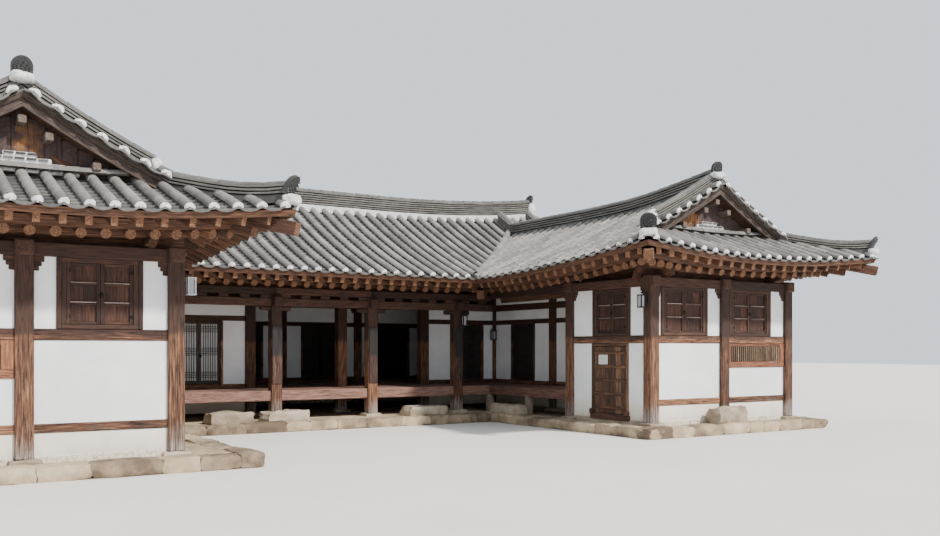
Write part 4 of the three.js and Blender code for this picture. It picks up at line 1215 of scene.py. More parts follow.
def valley_tiles():
    """A row of cover tiles down each valley of the court."""
    piece = Piece("valley_tiles", TILE, "tile")
    for side in CUTS:
        top = (side * (WING_CENTRE - 0.1), EAVE_PORCH + WING_RUN - 0.1)
        ridge_cover(piece, Path(top, (side * EAVE_COURT, EAVE_PORCH)), 0.085, 0.075)
    piece.close(40)


# Gables: verge boards, boarded wall, purlin ends and a pile of mortared tiles at the foot


def gable(label, face, high, skirt, half):
    """face turns along, outwards and up into the house; high gives the slope above a place along."""
    wood = Piece(f"{label}_verge_boards", VERGE_WOOD, "timber")
    wall = Piece(f"{label}_boards", GABLE_WALL, "timber", stands_for=[label])
    tiles = Piece(f"{label}_foot_tiles", TILE, "tile")
    mortar = Piece(f"{label}_foot_mortar", MORTAR, "plaster")
    for way in (-1, 1):
        steps = [way * half * i / VERGE_STEPS for i in range(VERGE_STEPS + 1)]
        for u0, u1 in zip(steps, steps[1:]):
            for deep, low in VERGE_BOARDS:
                verge_board(wood, face, high, u0, u1, low, deep)
    count = int(half / GABLE_BOARD)
    foot = skirt(GABLE_DEPTH)
    for i in range(-count, count + 1):
        u = i * GABLE_BOARD
        top = high(u) - 0.115
        if top - foot > 0.08:
            low = (u - GABLE_BOARD / 2 + 0.002, -GABLE_DEPTH - 0.03, foot)
            timber(wall, low, (u + GABLE_BOARD / 2 - 0.002, -GABLE_DEPTH, top), face, axis=2, bevel=0.004)
    for u in PURLIN_ENDS:
        top = high(abs(u)) - 0.24
        low = (u - 0.05, -GABLE_DEPTH, top - 0.1)
        timber(wood, low, (u + 0.05, 0.012, top), face, axis=1, bevel=0.01, tone=0.9)
    foot_pile(tiles, mortar, face, skirt, half)
    wall.close()
    wood.close()
    tiles.close(40)
    mortar.close(60)


def verge_board(wood, face, high, u0, u1, low, deep):
    """A length of board under the edge of the roof, its upper side on the slope's line."""
    bm = block((abs(u1 - u0), deep, low))
    mark(bm, 0, 0.1)
    for vert in bm.verts:
        u = (u0 + u1) / 2 + vert.co.x
        vert.co = Vector((u, vert.co.y + deep / 2 + 0.02, high(u) + VERGE_RAISE - low / 2 + vert.co.z))
    wood.add(bm, face)


def foot_pile(tiles, mortar, face, skirt, half):
    """Low courses of tile ends in mortar before the gable wall, with cover tiles along the skirt."""
    edge = skirt(GABLE_DEPTH - 0.06)
    wall = -GABLE_DEPTH
    spacing = 0.13
    for row in range(4):
        reach = (0.42 - 0.1 * row) * half
        low = edge + 0.07 + row * 0.062
        set_back = row * 0.01
        body = (-reach, wall - 0.02, low - 0.02)
        timber(mortar, body, (reach, wall + 0.075 - set_back, low + 0.05), face, bevel=0.015)
        count = int(reach / spacing)
        for i in range(-count, count + 1):
            u = i * spacing + random.uniform(-0.01, 0.01)
            near = (u - 0.055, wall, low + 0.018)
            timber(tiles, near, (u + 0.055, wall + 0.1 - set_back, low + 0.04), face, bevel=0.004)
    reach = 0.78 * half
    bm = cover_run(2 * reach, round(2 * reach / ROLL_TILE))
    turn(bm, -90, "Z")
    move(bm, (-reach, wall + 0.15, edge + 0.045))
    for vert in bm.verts:
        vert.co.z += 0.05 * (vert.co.x / half) ** 2
    tiles.add(bm, face)


def gables():
    for side, label in SIDES:
        face = along_x(side, VERGE, -1) @ Matrix.Translation((WING_CENTRE, 0, 0))
        gable(
            f"{label}_gable", face,
            lambda u, s=side: top_main(s * (WING_CENTRE + u), VERGE + 0.02),
            lambda d, s=side: front_skirt(s * WING_CENTRE, VERGE + d), 1.62,
        )
        face = along_y(side, END_VERGE, 1) @ Matrix.Translation((RIDGE_Y, 0, 0))
        gable(
            f"{label}_end_gable", face,
            lambda u, s=side: top_middle(s * END_VERGE, RIDGE_Y + u),
            lambda d, s=side: end_skirt(s * (END_VERGE - d), RIDGE_Y), 1.72,
        )


def top_middle(x, y):
    return min(porch_slope(x, y), back_slope(x, y))


def top_main(x, y):
    return min(court_slope(x, y), outer_slope(x, y))


# Eaves: boards, round rafters, square rafters over them, fanned at the corners


def eave_strip(piece, field, low, high, ts, bs, cuts, axis=0):
    """A board along the eaves, bent to their curve and mitred by the cuts."""
    bm = block((high - low, ts[1] - ts[0], bs[1] - bs[0]))
    split_along(bm, 0, round((high - low) / 0.3))
    if ts[1] - ts[0] > 0.5:
        split_along(bm, 1, math.ceil((ts[1] - ts[0]) / 0.4))
    move(bm, ((low + high) / 2, (ts[0] + ts[1]) / 2, (bs[0] + bs[1]) / 2))
    mark(bm, axis, 0.0)
    for vert in bm.verts:
        a, t, b = vert.co
        vert.co = field.at(a, t) + field.up(a, t) * b
    if field.mirrored((low + high) / 2):
        flip(bm)
    trim(bm, cuts)
    piece.add(bm)


def rafter(rounds, flies, field, v_out, v_in, t_in, t_out=0.0, fan=1.0):
    """A round rafter and the square one over its end, on one line in plan."""

    def spot(t, depth):
        share = (t - t_out) / (t_in - t_out)
        v = v_out + (v_in - v_out) * share
        return field.at(v, t) - field.up(v, t) * depth

    foot = spot(max(0.4, t_out), ROUND_DEPTH[0])
    pole(rounds, foot, spot(t_in * fan, ROUND_DEPTH[1]), ROUND_RADIUS, 10, ROUND_TIP, 0.008, end_tone=0.6)
    if flies is not None:
        stick(flies, spot(0.01, FLY_DEPTH), spot(min(1.0, t_in * fan), FLY_DEPTH), *FLY_SIZE, end_tone=0.7)


def eave_run(boards, soffits, rounds, flies, field, ends, straight, inner, cuts):
    """All the timber of one eave: straight gives the first and last straight rafter."""
    eave_strip(boards, field, *ends, *EDGE_BOARD, cuts)
    eave_strip(boards, field, *ends, *LOWER_BOARD, cuts)
    eave_strip(soffits, field, *ends, (SOFFIT_START, inner), SOFFIT_DEPTH, cuts, axis=1)
    for v in spread(*straight, RAFTER_STEP):
        rafter(rounds, flies, field, v, v, inner)


def corner_fan(rounds, flies, fields):
    """Fanned rafters and the two hip rafters at an outer corner."""
    reach = OVERHANG + 0.35
    for field, corner_v, inward in fields:
        for i in range(1, 5):
            foot = corner_v + inward * i * FAN_STEP
            rafter(rounds, flies, field, foot, corner_v + inward * reach, reach, fan=0.88)
    field, corner_v, inward = fields[0]

    def spot(t, depth):
        return field.at(corner_v + inward * t, t) - Vector((0, 0, depth))

    stick(rounds, spot(0.34, 0.36), spot(1.7, 0.42), 0.17, 0.2, 0.012, end_tone=0.5)
    stick(flies, spot(-0.02, 0.25), spot(1.1, 0.27), 0.16, 0.17, 0.01, end_tone=0.5)


def wing_eaves(side, sets):
    """Eaves on the court side, the front and the outer side of one wing."""
    cuts = CUTS[side]
    over = EAVE_OVERRUN
    near = OVERHANG + 0.42
    court_straight = (EAVE_FRONT + near, EAVE_PORCH - 0.1)
    front_straight = (EAVE_COURT + near, EAVE_OUTER - near)
    outer_straight = (EAVE_FRONT + near, EAVE_BACK - near)
    eave_run(*sets, field_court(side), (EAVE_FRONT - over, RECESS_POST + 2.2), court_straight,
             2.3, [cuts.court_hip, cuts.court_valley])
    eave_run(*sets, field_front(side), (EAVE_COURT - over, EAVE_OUTER + over), front_straight,
             EAVE_INNER, cuts.front_hips)
    eave_run(*sets, field_outer(side), (EAVE_FRONT - over, EAVE_BACK + over), outer_straight,
             EAVE_INNER, [cuts.outer_hip, cuts.end_hip])


def valley_rafters(side, rounds):
    """Rafters that die into the valley of one side, and the valley's own rafter."""
    for v in spread(EAVE_PORCH + 0.35, INNER - 0.2, RAFTER_STEP):
        start_t = v - EAVE_PORCH + 0.1
        rafter(rounds, None, field_court(side), v, v, 2.3, start_t)
        x = side * (v - EAVE_PORCH + EAVE_COURT)
        rafter(rounds, None, field_porch(), x, x, 2.55, start_t)
    porch = field_porch()
    ends = [porch.at(side * (EAVE_COURT + t), t) - Vector((0, 0, 0.42)) for t in (0.3, 2.5)]
    stick(rounds, *ends, 0.16, 0.2, 0.01, end_tone=0.4)


def eaves():
    boards = Piece("eave_boards", EAVES_TIMBER, "timber")
    soffits = Piece("soffit_boards", SOFFIT, "timber")
    rounds = Piece("round_rafters", EAVES_TIMBER, "timber")
    flies = Piece("square_rafters", EAVES_TIMBER, "timber")
    sets = (boards, soffits, rounds, flies)
    near = OVERHANG + 0.42
    for side in CUTS:
        wing_eaves(side, sets)
        valley_rafters(side, rounds)
        court, front, outer = field_court(side), field_front(side), field_outer(side)
        corner_fan(rounds, flies, [(court, EAVE_FRONT, 1), (front, EAVE_COURT, 1)])
        corner_fan(rounds, flies, [(outer, EAVE_FRONT, 1), (front, EAVE_OUTER, -1)])
        corner_fan(rounds, flies, [(outer, EAVE_BACK, -1), (field_back(), side * EAVE_OUTER, -side)])
    eave_run(*sets, field_porch(), (-INNER, INNER), (-EAVE_COURT + 0.1, EAVE_COURT - 0.1), 2.55, VALLEYS)
    end = EAVE_OUTER + EAVE_OVERRUN
    back_straight = (-EAVE_OUTER + near, EAVE_OUTER - near)
    back_hips = [CUTS[side].back_hip for side in CUTS]
    eave_run(*sets, field_back(), (-end, end), back_straight, EAVE_INNER, back_hips)
    boards.close(40)
    soffits.close()
    rounds.close(40)
    flies.close()


def purlins():
    """Round purlins over the walls and the planks that close the wall up to the rafters."""
    wood = Piece("purlins", EAVES_TIMBER, "timber")
    for side in CUTS:
        purlin_line(wood, field_court(side), FRONT - 0.1, PORCH, PURLIN_FOOT)
        purlin_line(wood, field_front(side), COURT - 0.1, OUTER + 0.1, PURLIN_FOOT)
        purlin_line(wood, field_outer(side), FRONT - 0.1, BACK + 0.1, PURLIN_FOOT)
    purlin_line(wood, field_porch(), -COURT, COURT, PORCH_PURLIN_FOOT)
    purlin_line(wood, field_back(), -OUTER - 0.1, OUTER + 0.1, PURLIN_FOOT)
    wood.close(40)


def purlin_line(wood, field, low, high, foot):
    eave_strip(wood, field, low, high, (OVERHANG - 0.045, OVERHANG + 0.045), (foot, -0.3), [])
    bm = start()
    bmesh.ops.create_cone(
        bm, cap_ends=True, segments=12, radius1=PURLIN_RADIUS, radius2=PURLIN_RADIUS, depth=high - low)
    turn(bm, 90, "Y")
    split_along(bm, 0, round((high - low) / 0.4), fill=False)
    move(bm, ((low + high) / 2, OVERHANG, -PURLIN_DEPTH))
    mark(bm, 0, 0.0)
    for vert in bm.verts:
        a, t, b = vert.co
        vert.co = field.at(a, t) + Vector((0, 0, b))
    bmesh.ops.recalc_face_normals(bm, faces=bm.faces)
    wood.add(bm)


# Roof bed: clay on boards under the tiles, open at the eaves


def roof_bed():
    bed = Piece("roof_bed", BED, "tile")
    valley_top = EAVE_PORCH + WING_RUN
    end_foot = EAVE_PORCH + END_RUN
    for side, cuts in CUTS.items():
        back_low, back_high = sorted((side * END_VERGE, side * EAVE_OUTER))
        court, outer = field_court(side), field_outer(side)
        for field, low, high, ts, edges in (
            (court, VERGE, valley_top, (0, WING_RUN), [cuts.court_ridge, cuts.court_valley]),
            (court, EAVE_FRONT, VERGE, (0, SKIRT_RUN), [cuts.court_hip]),
            (outer, VERGE, end_foot, (0, WING_RUN), [cuts.outer_ridge]),
            (outer, end_foot, valley_top, (END_RUN, WING_RUN), [cuts.outer_ridge, cuts.outer_valley]),
            (outer, EAVE_FRONT, VERGE, (0, SKIRT_RUN), [cuts.outer_hip]),
            (field_front(side), EAVE_COURT, EAVE_OUTER, (0, SKIRT_RUN), cuts.front_hips),
            (field_front(side), WING_CENTRE - 1.6, WING_CENTRE + 1.6, (SKIRT_RUN, SKIRT_RUN + 0.35), []),
            (field_end(side), end_foot, EAVE_BACK, (0, END_RUN + TUCKED), [cuts.end_hip]),
            (field_back(), back_low, back_high, (0, END_RUN), [cuts.back_hip]),
        ):
            eave_strip(bed, field, low, high, ts, BED_DEPTH, edges)
    left, right = CUTS[-1], CUTS[1]
    porch, up = field_porch(), (0, MIDDLE_RUN)
    eave_strip(bed, porch, -WING_CENTRE, WING_CENTRE, up, BED_DEPTH, [PORCH_RIDGE, *VALLEYS])
    eave_strip(bed, porch, -END_VERGE, -WING_CENTRE, up, BED_DEPTH, [PORCH_RIDGE, left.end_valley])
    eave_strip(bed, porch, WING_CENTRE, END_VERGE, up, BED_DEPTH, [PORCH_RIDGE, right.end_valley])
    eave_strip(bed, field_back(), -END_VERGE, END_VERGE, up, BED_DEPTH, [BACK_RIDGE])
    bed.close()


# Frames: posts, rails, opening frames, head beams and corbels


def post(piece, matrix, u, head=ROOM_POST_TOP):
    timber(piece, (u - POST, -POST, 0), (u + POST, POST, head), matrix, axis=2, bevel=POST_BEVEL)


def rail_row(piece, matrix, stops, heights, half=RAIL):
    """Rails between neighbouring posts, at each of the heights."""
    for z0, z1 in heights:
        for a, b in zip(stops, stops[1:]):
            timber(piece, (a, -half, z0), (b, half, z1), matrix, axis=0, bevel=RAIL_BEVEL)


def opening_frame(piece, matrix, u0, u1, z0, z1, out=0.072):
    for a, b in ((u0 - JAMB, u0), (u1, u1 + JAMB)):
        timber(piece, (a, -RAIL, z0 - JAMB), (b, out, z1 + JAMB), matrix, axis=2, bevel=FRAME_BEVEL)
    for a, b in ((z0 - JAMB, z0), (z1, z1 + JAMB)):
        timber(piece, (u0, -RAIL, a), (u1, out - 0.004, b), matrix, axis=0, bevel=FRAME_BEVEL)


def lining(piece, matrix, u0, u1):
    """Wide boards inside a window frame, which the leaves hang on."""
    for a, b in ((u0, u0 + LINING), (u1 - LINING, u1)):
        timber(piece, (a, -0.02, WINDOW_Z[0]), (b, 0.062, WINDOW_Z[1]), matrix, axis=2, bevel=0.005)


def corbels(piece, matrix, u, beam_end=True, ways=(-1, 1)):
    """Stepped brackets under the head beam on both sides of a post, and the beam's end in front."""
    for way in ways:
        for reach, z0, z1 in CORBEL_STEPS:
            timber(piece, (u, -0.05, z0), (u + way * reach, 0.06, z1), matrix, axis=0, bevel=0.01)
    if beam_end:
        timber(piece, (u - 0.1, 0, 2.42), (u + 0.1, 0.17, 2.615), matrix, axis=1, bevel=0.025, tone=0.3)


def head_beam(piece, matrix, stops):
    for a, b in zip(stops, stops[1:]):
        timber(piece, (a, -BEAM, HEAD[0]), (b, BEAM, HEAD[1]), matrix, axis=0, bevel=POST_BEVEL)


def ways_inside(u, low, high):
    """The sides of a post on which its wall goes on."""
    return [way for way in (-1, 1) if low - 0.1 < u + way * 0.3 < high + 0.1]


def wing_frames(side, label):
    walls = ("front", "court", "outer", "recess", "return")
    frames = [f"{label}_{wall}_frame" for wall in walls]
    wood = Piece(f"{label}_wing_timbers", TIMBER, "timber", stands_for=frames)
    front_frame(wood, side)
    court_frame(wood, side)
    outer = along_y(side, OUTER, 1)
    rows = (FRONT, *OUTER_POSTS, BACK)
    for u in OUTER_POSTS:
        post(wood, outer, u)
        corbels(wood, outer, u)
    rail_row(wood, outer, rows, (LOWER_RAIL, MID_RAIL))
    head_beam(wood, outer, rows)
    recess_frame(wood, side)
    back = along_x(side, ROOM_END, 1)
    rail_row(wood, back, (COURT, RECESS), (SILL, DOOR_HEAD, BAND_BEAM))
    wood.close()


def front_frame(wood, side):
    front = along_x(side, FRONT, -1)
    fronts = (COURT, WING_CENTRE, OUTER)
    for u in fronts:
        post(wood, front, u)
        corbels(wood, front, u, ways=ways_inside(u, COURT, OUTER))
    rail_row(wood, front, fronts, (LOWER_RAIL, MID_RAIL))
    head_beam(wood, front, (COURT - POST + BEAM_INSET, WING_CENTRE, OUTER + POST - BEAM_INSET))
    for u0, u1 in FRONT_WINDOWS[side]:
        opening_frame(wood, front, u0, u1, *WINDOW_Z)
        lining(wood, front, u0, u1)


def court_frame(wood, side):
    court = along_y(side, COURT, -1)
    rows = (FRONT, ROOM_END)
    post(wood, court, ROOM_END)
    for u, ways in ((FRONT, (1,)), (ROOM_END, (-1, 1))):
        corbels(wood, court, u, u > FRONT, ways)
    rail_row(wood, court, rows, (MID_RAIL,) if side > 0 else (LOWER_RAIL, MID_RAIL))
    head_beam(wood, court, (FRONT - POST + 0.02, ROOM_END, PORCH - 0.08))
    opening_frame(wood, court, *COURT_WINDOW, *WINDOW_Z)
    lining(wood, court, *COURT_WINDOW)


def recess_frame(wood, side):
    recess = along_y(side, RECESS, -1)
    rows = (ROOM_END, RECESS_POST, INNER)
    for u in rows:
        post(wood, recess, u, HALL_POST_TOP)
    rail_row(wood, recess, rows, (SILL, DOOR_HEAD, BAND_BEAM))
    timber(wood, (ROOM_END, -0.08, TIE_BEAM[0]), (INNER, 0.08, TIE_BEAM[1]), recess, axis=0)
    opening_frame(wood, recess, *RECESS_DOOR)


def vents():
    """Barred vents low in the front walls, with worn orange boards about them and a black box behind the bars
    as painted shade in the opening.
    """
    bars = Piece("vent_bars", PALE_WOOD, "timber")
    boards = Piece("vent_boards", ORANGE, "timber")
    shade_box = Piece("vent_shade", BLACK_JOINTS_AND_SHADE, "dark_wood")
    for side, (u0, u1) in VENT.items():
        front = along_x(side, FRONT, -1)
        # A black box behind the bars: painted shade inside the vent.
        timber(shade_box, (u0, 0.0, VENT_Z[0]), (u1, 0.05, VENT_Z[1]), front, bevel=0)
        count = round((u1 - u0) / VENT_BAR_STEP)
        for i in range(count):
            u = u0 + (u1 - u0) * (i + 0.5) / count
            low, high = (u - 0.009, 0.045, VENT_Z[0]), (u + 0.009, 0.064, VENT_Z[1])
            timber(bars, low, high, front, axis=2, bevel=0.003)
        inner, outer = WING_CENTRE + POST, OUTER - POST
        for a, b in ((inner, u0), (u1, outer)):
            timber(boards, (a, -RAIL, VENT_Z[0] - 0.01), (b, 0.066, MID_RAIL[0]), front, axis=2)
        timber(boards, (inner, -RAIL, 0.962), (outer, 0.064, 1.072), front, axis=0, bevel=0.01)
        timber(boards, (u0, -RAIL, VENT_Z[1]), (u1, 0.06, MID_RAIL[0]), front, axis=0)
    bars.close()
    boards.close()
    shade_box.close()


def back_timbers():
    wood = Piece("back_timbers", TIMBER, "timber", stands_for=["back_frame"])
    back = along_x(1, BACK, 1)
    for u in BACK_POSTS:
        post(wood, back, u)
        corbels(wood, back, u, ways=ways_inside(u, -OUTER, OUTER))
    rail_row(wood, back, BACK_POSTS, (LOWER_RAIL,))
    rail_row(wood, back, BACK_POSTS[:4], (MID_RAIL,))
    rail_row(wood, back, BACK_POSTS[6:], (MID_RAIL,))
    rail_row(wood, back, BACK_POSTS[3:7], (SILL, DOOR_HEAD))
    head_beam(wood, back, (-OUTER - POST + BEAM_INSET, *BACK_POSTS[1:-1], OUTER + POST - BEAM_INSET))
    for u in HALL_BAYS:
        half, z0, z1 = BACK_DOOR
        opening_frame(wood, back, u - half, u + half, z0, z1)
    wood.close()


def porch_timbers():
    """Porch posts, the beam over them, blocks and the under-purlin."""
    wood = Piece("porch_timbers", TIMBER, "timber", stands_for=["porch_frame"])
    line = along_x(1, PORCH, -1)
    stops = (-COURT, *PORCH_POSTS, COURT)
    for u in PORCH_POSTS:
        post(wood, line, u, PORCH_BEAM_SEAT)
        timber(wood, (u - 0.09, -0.15, 2.14), (u + 0.09, 0.22, 2.33), line, axis=1, bevel=0.02)
        timber(wood, (u - 0.32, -0.05, 2.05), (u + 0.32, 0.05, 2.14), line, axis=0, bevel=0.03)
    for a, b in zip(stops, stops[1:]):
        timber(wood, (a, -0.07, PORCH_BEAM[0]), (b, 0.07, PORCH_BEAM[1]), line, axis=0, bevel=POST_BEVEL)
        count = max(2, round((b - a) / 0.42))
        for i in range(count):
            u = a + (b - a) * (i + 0.5) / count
            low, high = (u - 0.1, -0.055, PORCH_BEAM[1]), (u + 0.1, 0.055, PORCH_BEAM_SEAT + 0.005)
            timber(wood, low, high, line, axis=0, bevel=RAIL_BEVEL)
        timber(wood, (a, -0.05, PORCH_BEAM_SEAT), (b, 0.05, 2.50), line, axis=0, bevel=RAIL_BEVEL)
    wood.close()


def hall_timbers():
    """The inner row of posts with its rails, and the ties from it to the porch posts."""
    wood = Piece("hall_timbers", TIMBER, "timber", stands_for=["hall_frame"])
    line = along_x(1, INNER, -1)
    for u in PORCH_POSTS:
        post(wood, line, u, HALL_POST_TOP)
        low, high = (u - 0.075, PORCH + POST, BAND_BEAM[0]), (u + 0.075, INNER, BAND_BEAM[1])
        timber(wood, low, high, axis=1, bevel=0.02)
    stops = (-RECESS, *PORCH_POSTS, RECESS)
    rail_row(wood, line, stops[:3], (SILL, DOOR_HEAD))
    rail_row(wood, line, stops[-2:], (SILL, DOOR_HEAD))
    rail_row(wood, line, stops, (BAND_BEAM, TIE_BEAM))
    rail_row(wood, line, stops, (HALL_RAIL,), 0.045)
    opening_frame(wood, line, *LATTICE)
    opening_frame(wood, line, *CORNER_DOOR)
    wood.close()


# Shutters and doors


def shutters():
    places = ("front_inner", "front_outer", "court")
    windows = [f"{label}_{place}_window" for side, label in SIDES for place in places]
    boards = Piece("window_shutters", SHUTTER, "timber", stands_for=windows)
    panels = Piece("shutter_panels", PANEL_WOOD, "timber")
    lines = Piece("shutter_edges", HIGHLIGHT_WOOD, "timber")
    iron = Piece("window_irons", IRON, "dark_wood")
    for side, pairs in FRONT_WINDOWS.items():
        walls = [(along_x(side, FRONT, -1), *pair) for pair in pairs]
        walls.append((along_y(side, COURT, -1), *COURT_WINDOW))
        for matrix, u0, u1 in walls:
            middle = (u0 + u1) / 2
            shutter(boards, panels, lines, iron, matrix, u0 + LINING, middle - 0.002, 1)
            shutter(boards, panels, lines, iron, matrix, middle + 0.002, u1 - LINING, -1)
    boards.close()
    panels.close()
    lines.close()
    iron.close(30)


def shutter(boards, panels, lines, iron, matrix, a, b, hinge):
    """One leaf: stiles, four rails and three sunk panels; hinge is 1 where it hangs at a."""
    z0, z1 = WINDOW_Z
    stile = 0.045
    for c, d in ((a, a + stile), (b - stile, b)):
        timber(boards, (c, 0.0, z0), (d, 0.045, z1), matrix, axis=2)
    rail = 0.036
    step = (z1 - z0 - rail) / 3
    inner_a, inner_b, middle = a + stile, b - stile, (a + b) / 2
    for i in range(4):
        low = z0 + i * step
        timber(boards, (inner_a, 0.0, low), (inner_b, 0.042, low + rail), matrix, axis=0)
        if i < 3:
            for c, d in ((inner_a, middle - 0.001), (middle + 0.001, inner_b)):
                timber(panels, (c, -0.005, low + rail), (d, 0.02, low + step), matrix, axis=2, bevel=0.002)
        # Pale strips on the two middle rails are painted highlights.
        if 0 < i < 3:
            painted_highlight_edge(lines, matrix, inner_a, inner_b, low + rail - 0.006)
    if hinge > 0:
        ring(iron, matrix, b - 0.004, (z0 + z1) / 2 - 0.02)
    edge = a if hinge > 0 else b
    for z in (z0 + 0.1, z1 - 0.1):
        low, high = (edge - 0.03, 0.044, z - 0.02), (edge + 0.045 * hinge, 0.05, z + 0.02)
        timber(iron, low, high, matrix, bevel=0.002)
        pole_in(iron, matrix, (edge, 0.052, z - 0.03), (edge, 0.052, z + 0.03), 0.008)


def painted_highlight_edge(piece, matrix, a, b, z):
    """A pale strip along a rail's upper edge: a painted highlight."""
    timber(piece, (a, 0.018, z), (b, 0.044, z + 0.011), matrix, axis=0, bevel=0.003)


def pole_in(piece, matrix, foot, head, radius, sides=8):
    pole(piece, matrix @ Vector(foot), matrix @ Vector(head), radius, sides)


def ring(iron, matrix, u, z):
    """A ring pull on its round plate."""
    bm = start()
    made = bmesh.ops.create_circle(bm, segments=6, radius=0.0045)
    bmesh.ops.translate(bm, vec=(0.024, 0, 0), verts=made["verts"])
    wire = bm.verts[:] + bm.edges[:]
    bmesh.ops.spin(
        bm, geom=wire, cent=(0, 0, 0), axis=(0, 1, 0), angle=math.tau, steps=14, use_merge=True)
    bmesh.ops.recalc_face_normals(bm, faces=bm.faces)
    mark(bm)
    move(bm, (u, 0.056, z))
    iron.add(bm, matrix)
    pole_in(iron, matrix, (u, 0.044, z + 0.022), (u, 0.05, z + 0.022), 0.02, 12)


def board_leaf(piece, matrix, a, b, z0, z1, w, count, bars=(), thick=0.012):
    """Upright boards with a few bars across, centred on the line w."""
    for i in range(count):
        c = a + (b - a) * i / count
        d = a + (b - a) * (i + 1) / count - 0.003
        timber(piece, (c, w - thick, z0), (d, w + thick * 0.5, z1), matrix, axis=2, bevel=0.003)
    for z in bars:
        timber(piece, (a, w, z - 0.025), (b, w + thick + 0.003, z + 0.025), matrix, axis=0, bevel=0.004)


def plank_door():
    matrix = along_y(1, COURT, -1)
    u0, u1, z0, z1 = PLANK_DOOR
    a, b = u0 + 0.012, u1 - 0.008
    leaf = Piece("plank_door_boards", PLANKS, "timber", "plank_door", ["plank_door"])
    board_leaf(leaf, matrix, a, b, z0 + DOOR_GAP, z1 - DOOR_GAP, 0.034, 6, thick=0.016)
    for i in range(5):
        z = z0 + 0.12 + (z1 - z0 - 0.24) * i / 4
        timber(leaf, (a + 0.01, 0.04, z - 0.028), (b - 0.004, 0.058, z + 0.028), matrix, axis=0, bevel=0.006)
    leaf.close()
    wood = Piece("plank_door_frame", PLANKS, "timber")
    opening_frame(wood, matrix, *PLANK_DOOR, out=0.064)
    timber(wood, (u0 - 0.09, -0.06, 0.0), (u1 + 0.09, 0.075, 0.1), matrix, axis=0, bevel=0.01)
    for u in (u0 - 0.03, u1 + 0.03):
        timber(wood, (u - 0.045, 0.04, 0.1), (u + 0.045, 0.11, 0.19), matrix, axis=1, bevel=0.012)
    wood.close()
    card = Piece("door_card", PAPER, "plaster", "plank_door")
    timber(card, (1.092, 0.058, 1.025), (1.347, 0.0605, 1.205), matrix, bevel=0)
    card.close()


def dark_doors():
    """The two dark doors that open and the hidden one that stays shut."""
    for node, matrix, opening, body, clear in (
        ("recess_door", along_y(1, RECESS, -1), RECESS_DOOR, "recess_door", 0.012),
        ("corner_door", along_x(1, INNER, -1), CORNER_DOOR, "corner_door", 0.012),
        ("left_recess_door", along_y(-1, RECESS, -1), RECESS_DOOR, "house", 0.0),
    ):
        u0, u1, z0, z1 = opening
        leaf = Piece(f"{node}_boards", DARK, "dark_wood", body, [node])
        a, b = u0 + clear, u1 - clear * 0.7
        board_leaf(leaf, matrix, a, b, z0 + DOOR_GAP, z1 - DOOR_GAP, 0.04, 4, DOOR_BARS)
        leaf.close()


def back_doors():
    """Boarded double doors in the back wall of the hall, with bars on both faces."""
    leaf = Piece("hall_back_boards", DARK, "dark_wood", stands_for=[f"hall_back_door_{i}" for i in (1, 2, 3)])
    matrix = along_x(1, BACK, 1)
    half, z0, z1 = BACK_DOOR
    for u in HALL_BAYS:
        for a, b in ((u - half, u - 0.003), (u + 0.003, u + half)):
            board_leaf(leaf, matrix, a, b, z0, z1, 0.005, 2, DOOR_BARS)
            timber(leaf, (u - 0.02, -0.012, z0), (u + 0.02, 0.004, z1), matrix, axis=2, bevel=0.003)
            for z in DOOR_BARS:
                timber(leaf, (a, -0.022, z - 0.025), (b, 0.0, z + 0.025), matrix, axis=0, bevel=0.004)
    leaf.close()


def lattice_doors():
    matrix = along_x(1, INNER, -1)
    u0, u1, z0, z1 = LATTICE
    middle = (u0 + u1) / 2
    lattice_leaf(matrix, "left", u0 + 0.012, middle - 0.004, z0 + DOOR_GAP, z1 - DOOR_GAP)
    lattice_leaf(matrix, "right", middle + 0.004, u1 - 0.012, z0 + DOOR_GAP, z1 - DOOR_GAP)
    lock = Piece("lattice_lock", IRON, "dark_wood", "lattice_right")
    timber(lock, (middle + 0.01, 0.055, 1.14), (middle + 0.05, 0.075, 1.2), matrix, bevel=0.004)
    lock.close()


def lattice_leaf(matrix, label, a, b, z0, z1):
    """One leaf: a frame, upright bars, three bands of cross bars and paper behind them."""
    body, node = f"lattice_{label}", f"lattice_door_{label}"
    wood = Piece(f"{node}_bars", LATTICE_WOOD, "timber", body, [node])
    stile, foot, head = 0.045, 0.07, 0.05
    inner_a, inner_b = a + stile, b - stile
    for c, d in ((a, inner_a), (inner_b, b)):
        timber(wood, (c, 0.025, z0), (d, 0.055, z1), matrix, axis=2, bevel=0.005)
    for low, high in ((z0, z0 + foot), (z1 - head, z1)):
        timber(wood, (inner_a, 0.025, low), (inner_b, 0.055, high), matrix, axis=0, bevel=0.005)
    bars = 6
    for i in range(1, bars + 1):
        u = inner_a + (inner_b - inner_a) * i / (bars + 1)
        timber(wood, (u - 0.006, 0.032, z0 + foot), (u + 0.006, 0.05, z1 - head), matrix, axis=2, bevel=0)
    for z, rows in ((z0 + 0.13, 4), ((z0 + z1) / 2 - 0.05, 5), (z1 - 0.21, 4)):
        for i in range(rows):
            low = z + i * 0.034
            timber(wood, (inner_a, 0.031, low), (inner_b, 0.049, low + 0.011), matrix, axis=0, bevel=0)
    wood.close()
    paper = Piece(f"{node}_paper", PAPER, "plaster", body)
    timber(paper, (inner_a, 0.028, z0 + 0.06), (inner_b, 0.031, z1 - 0.04), matrix, bevel=0)
    paper.close()


# Floors


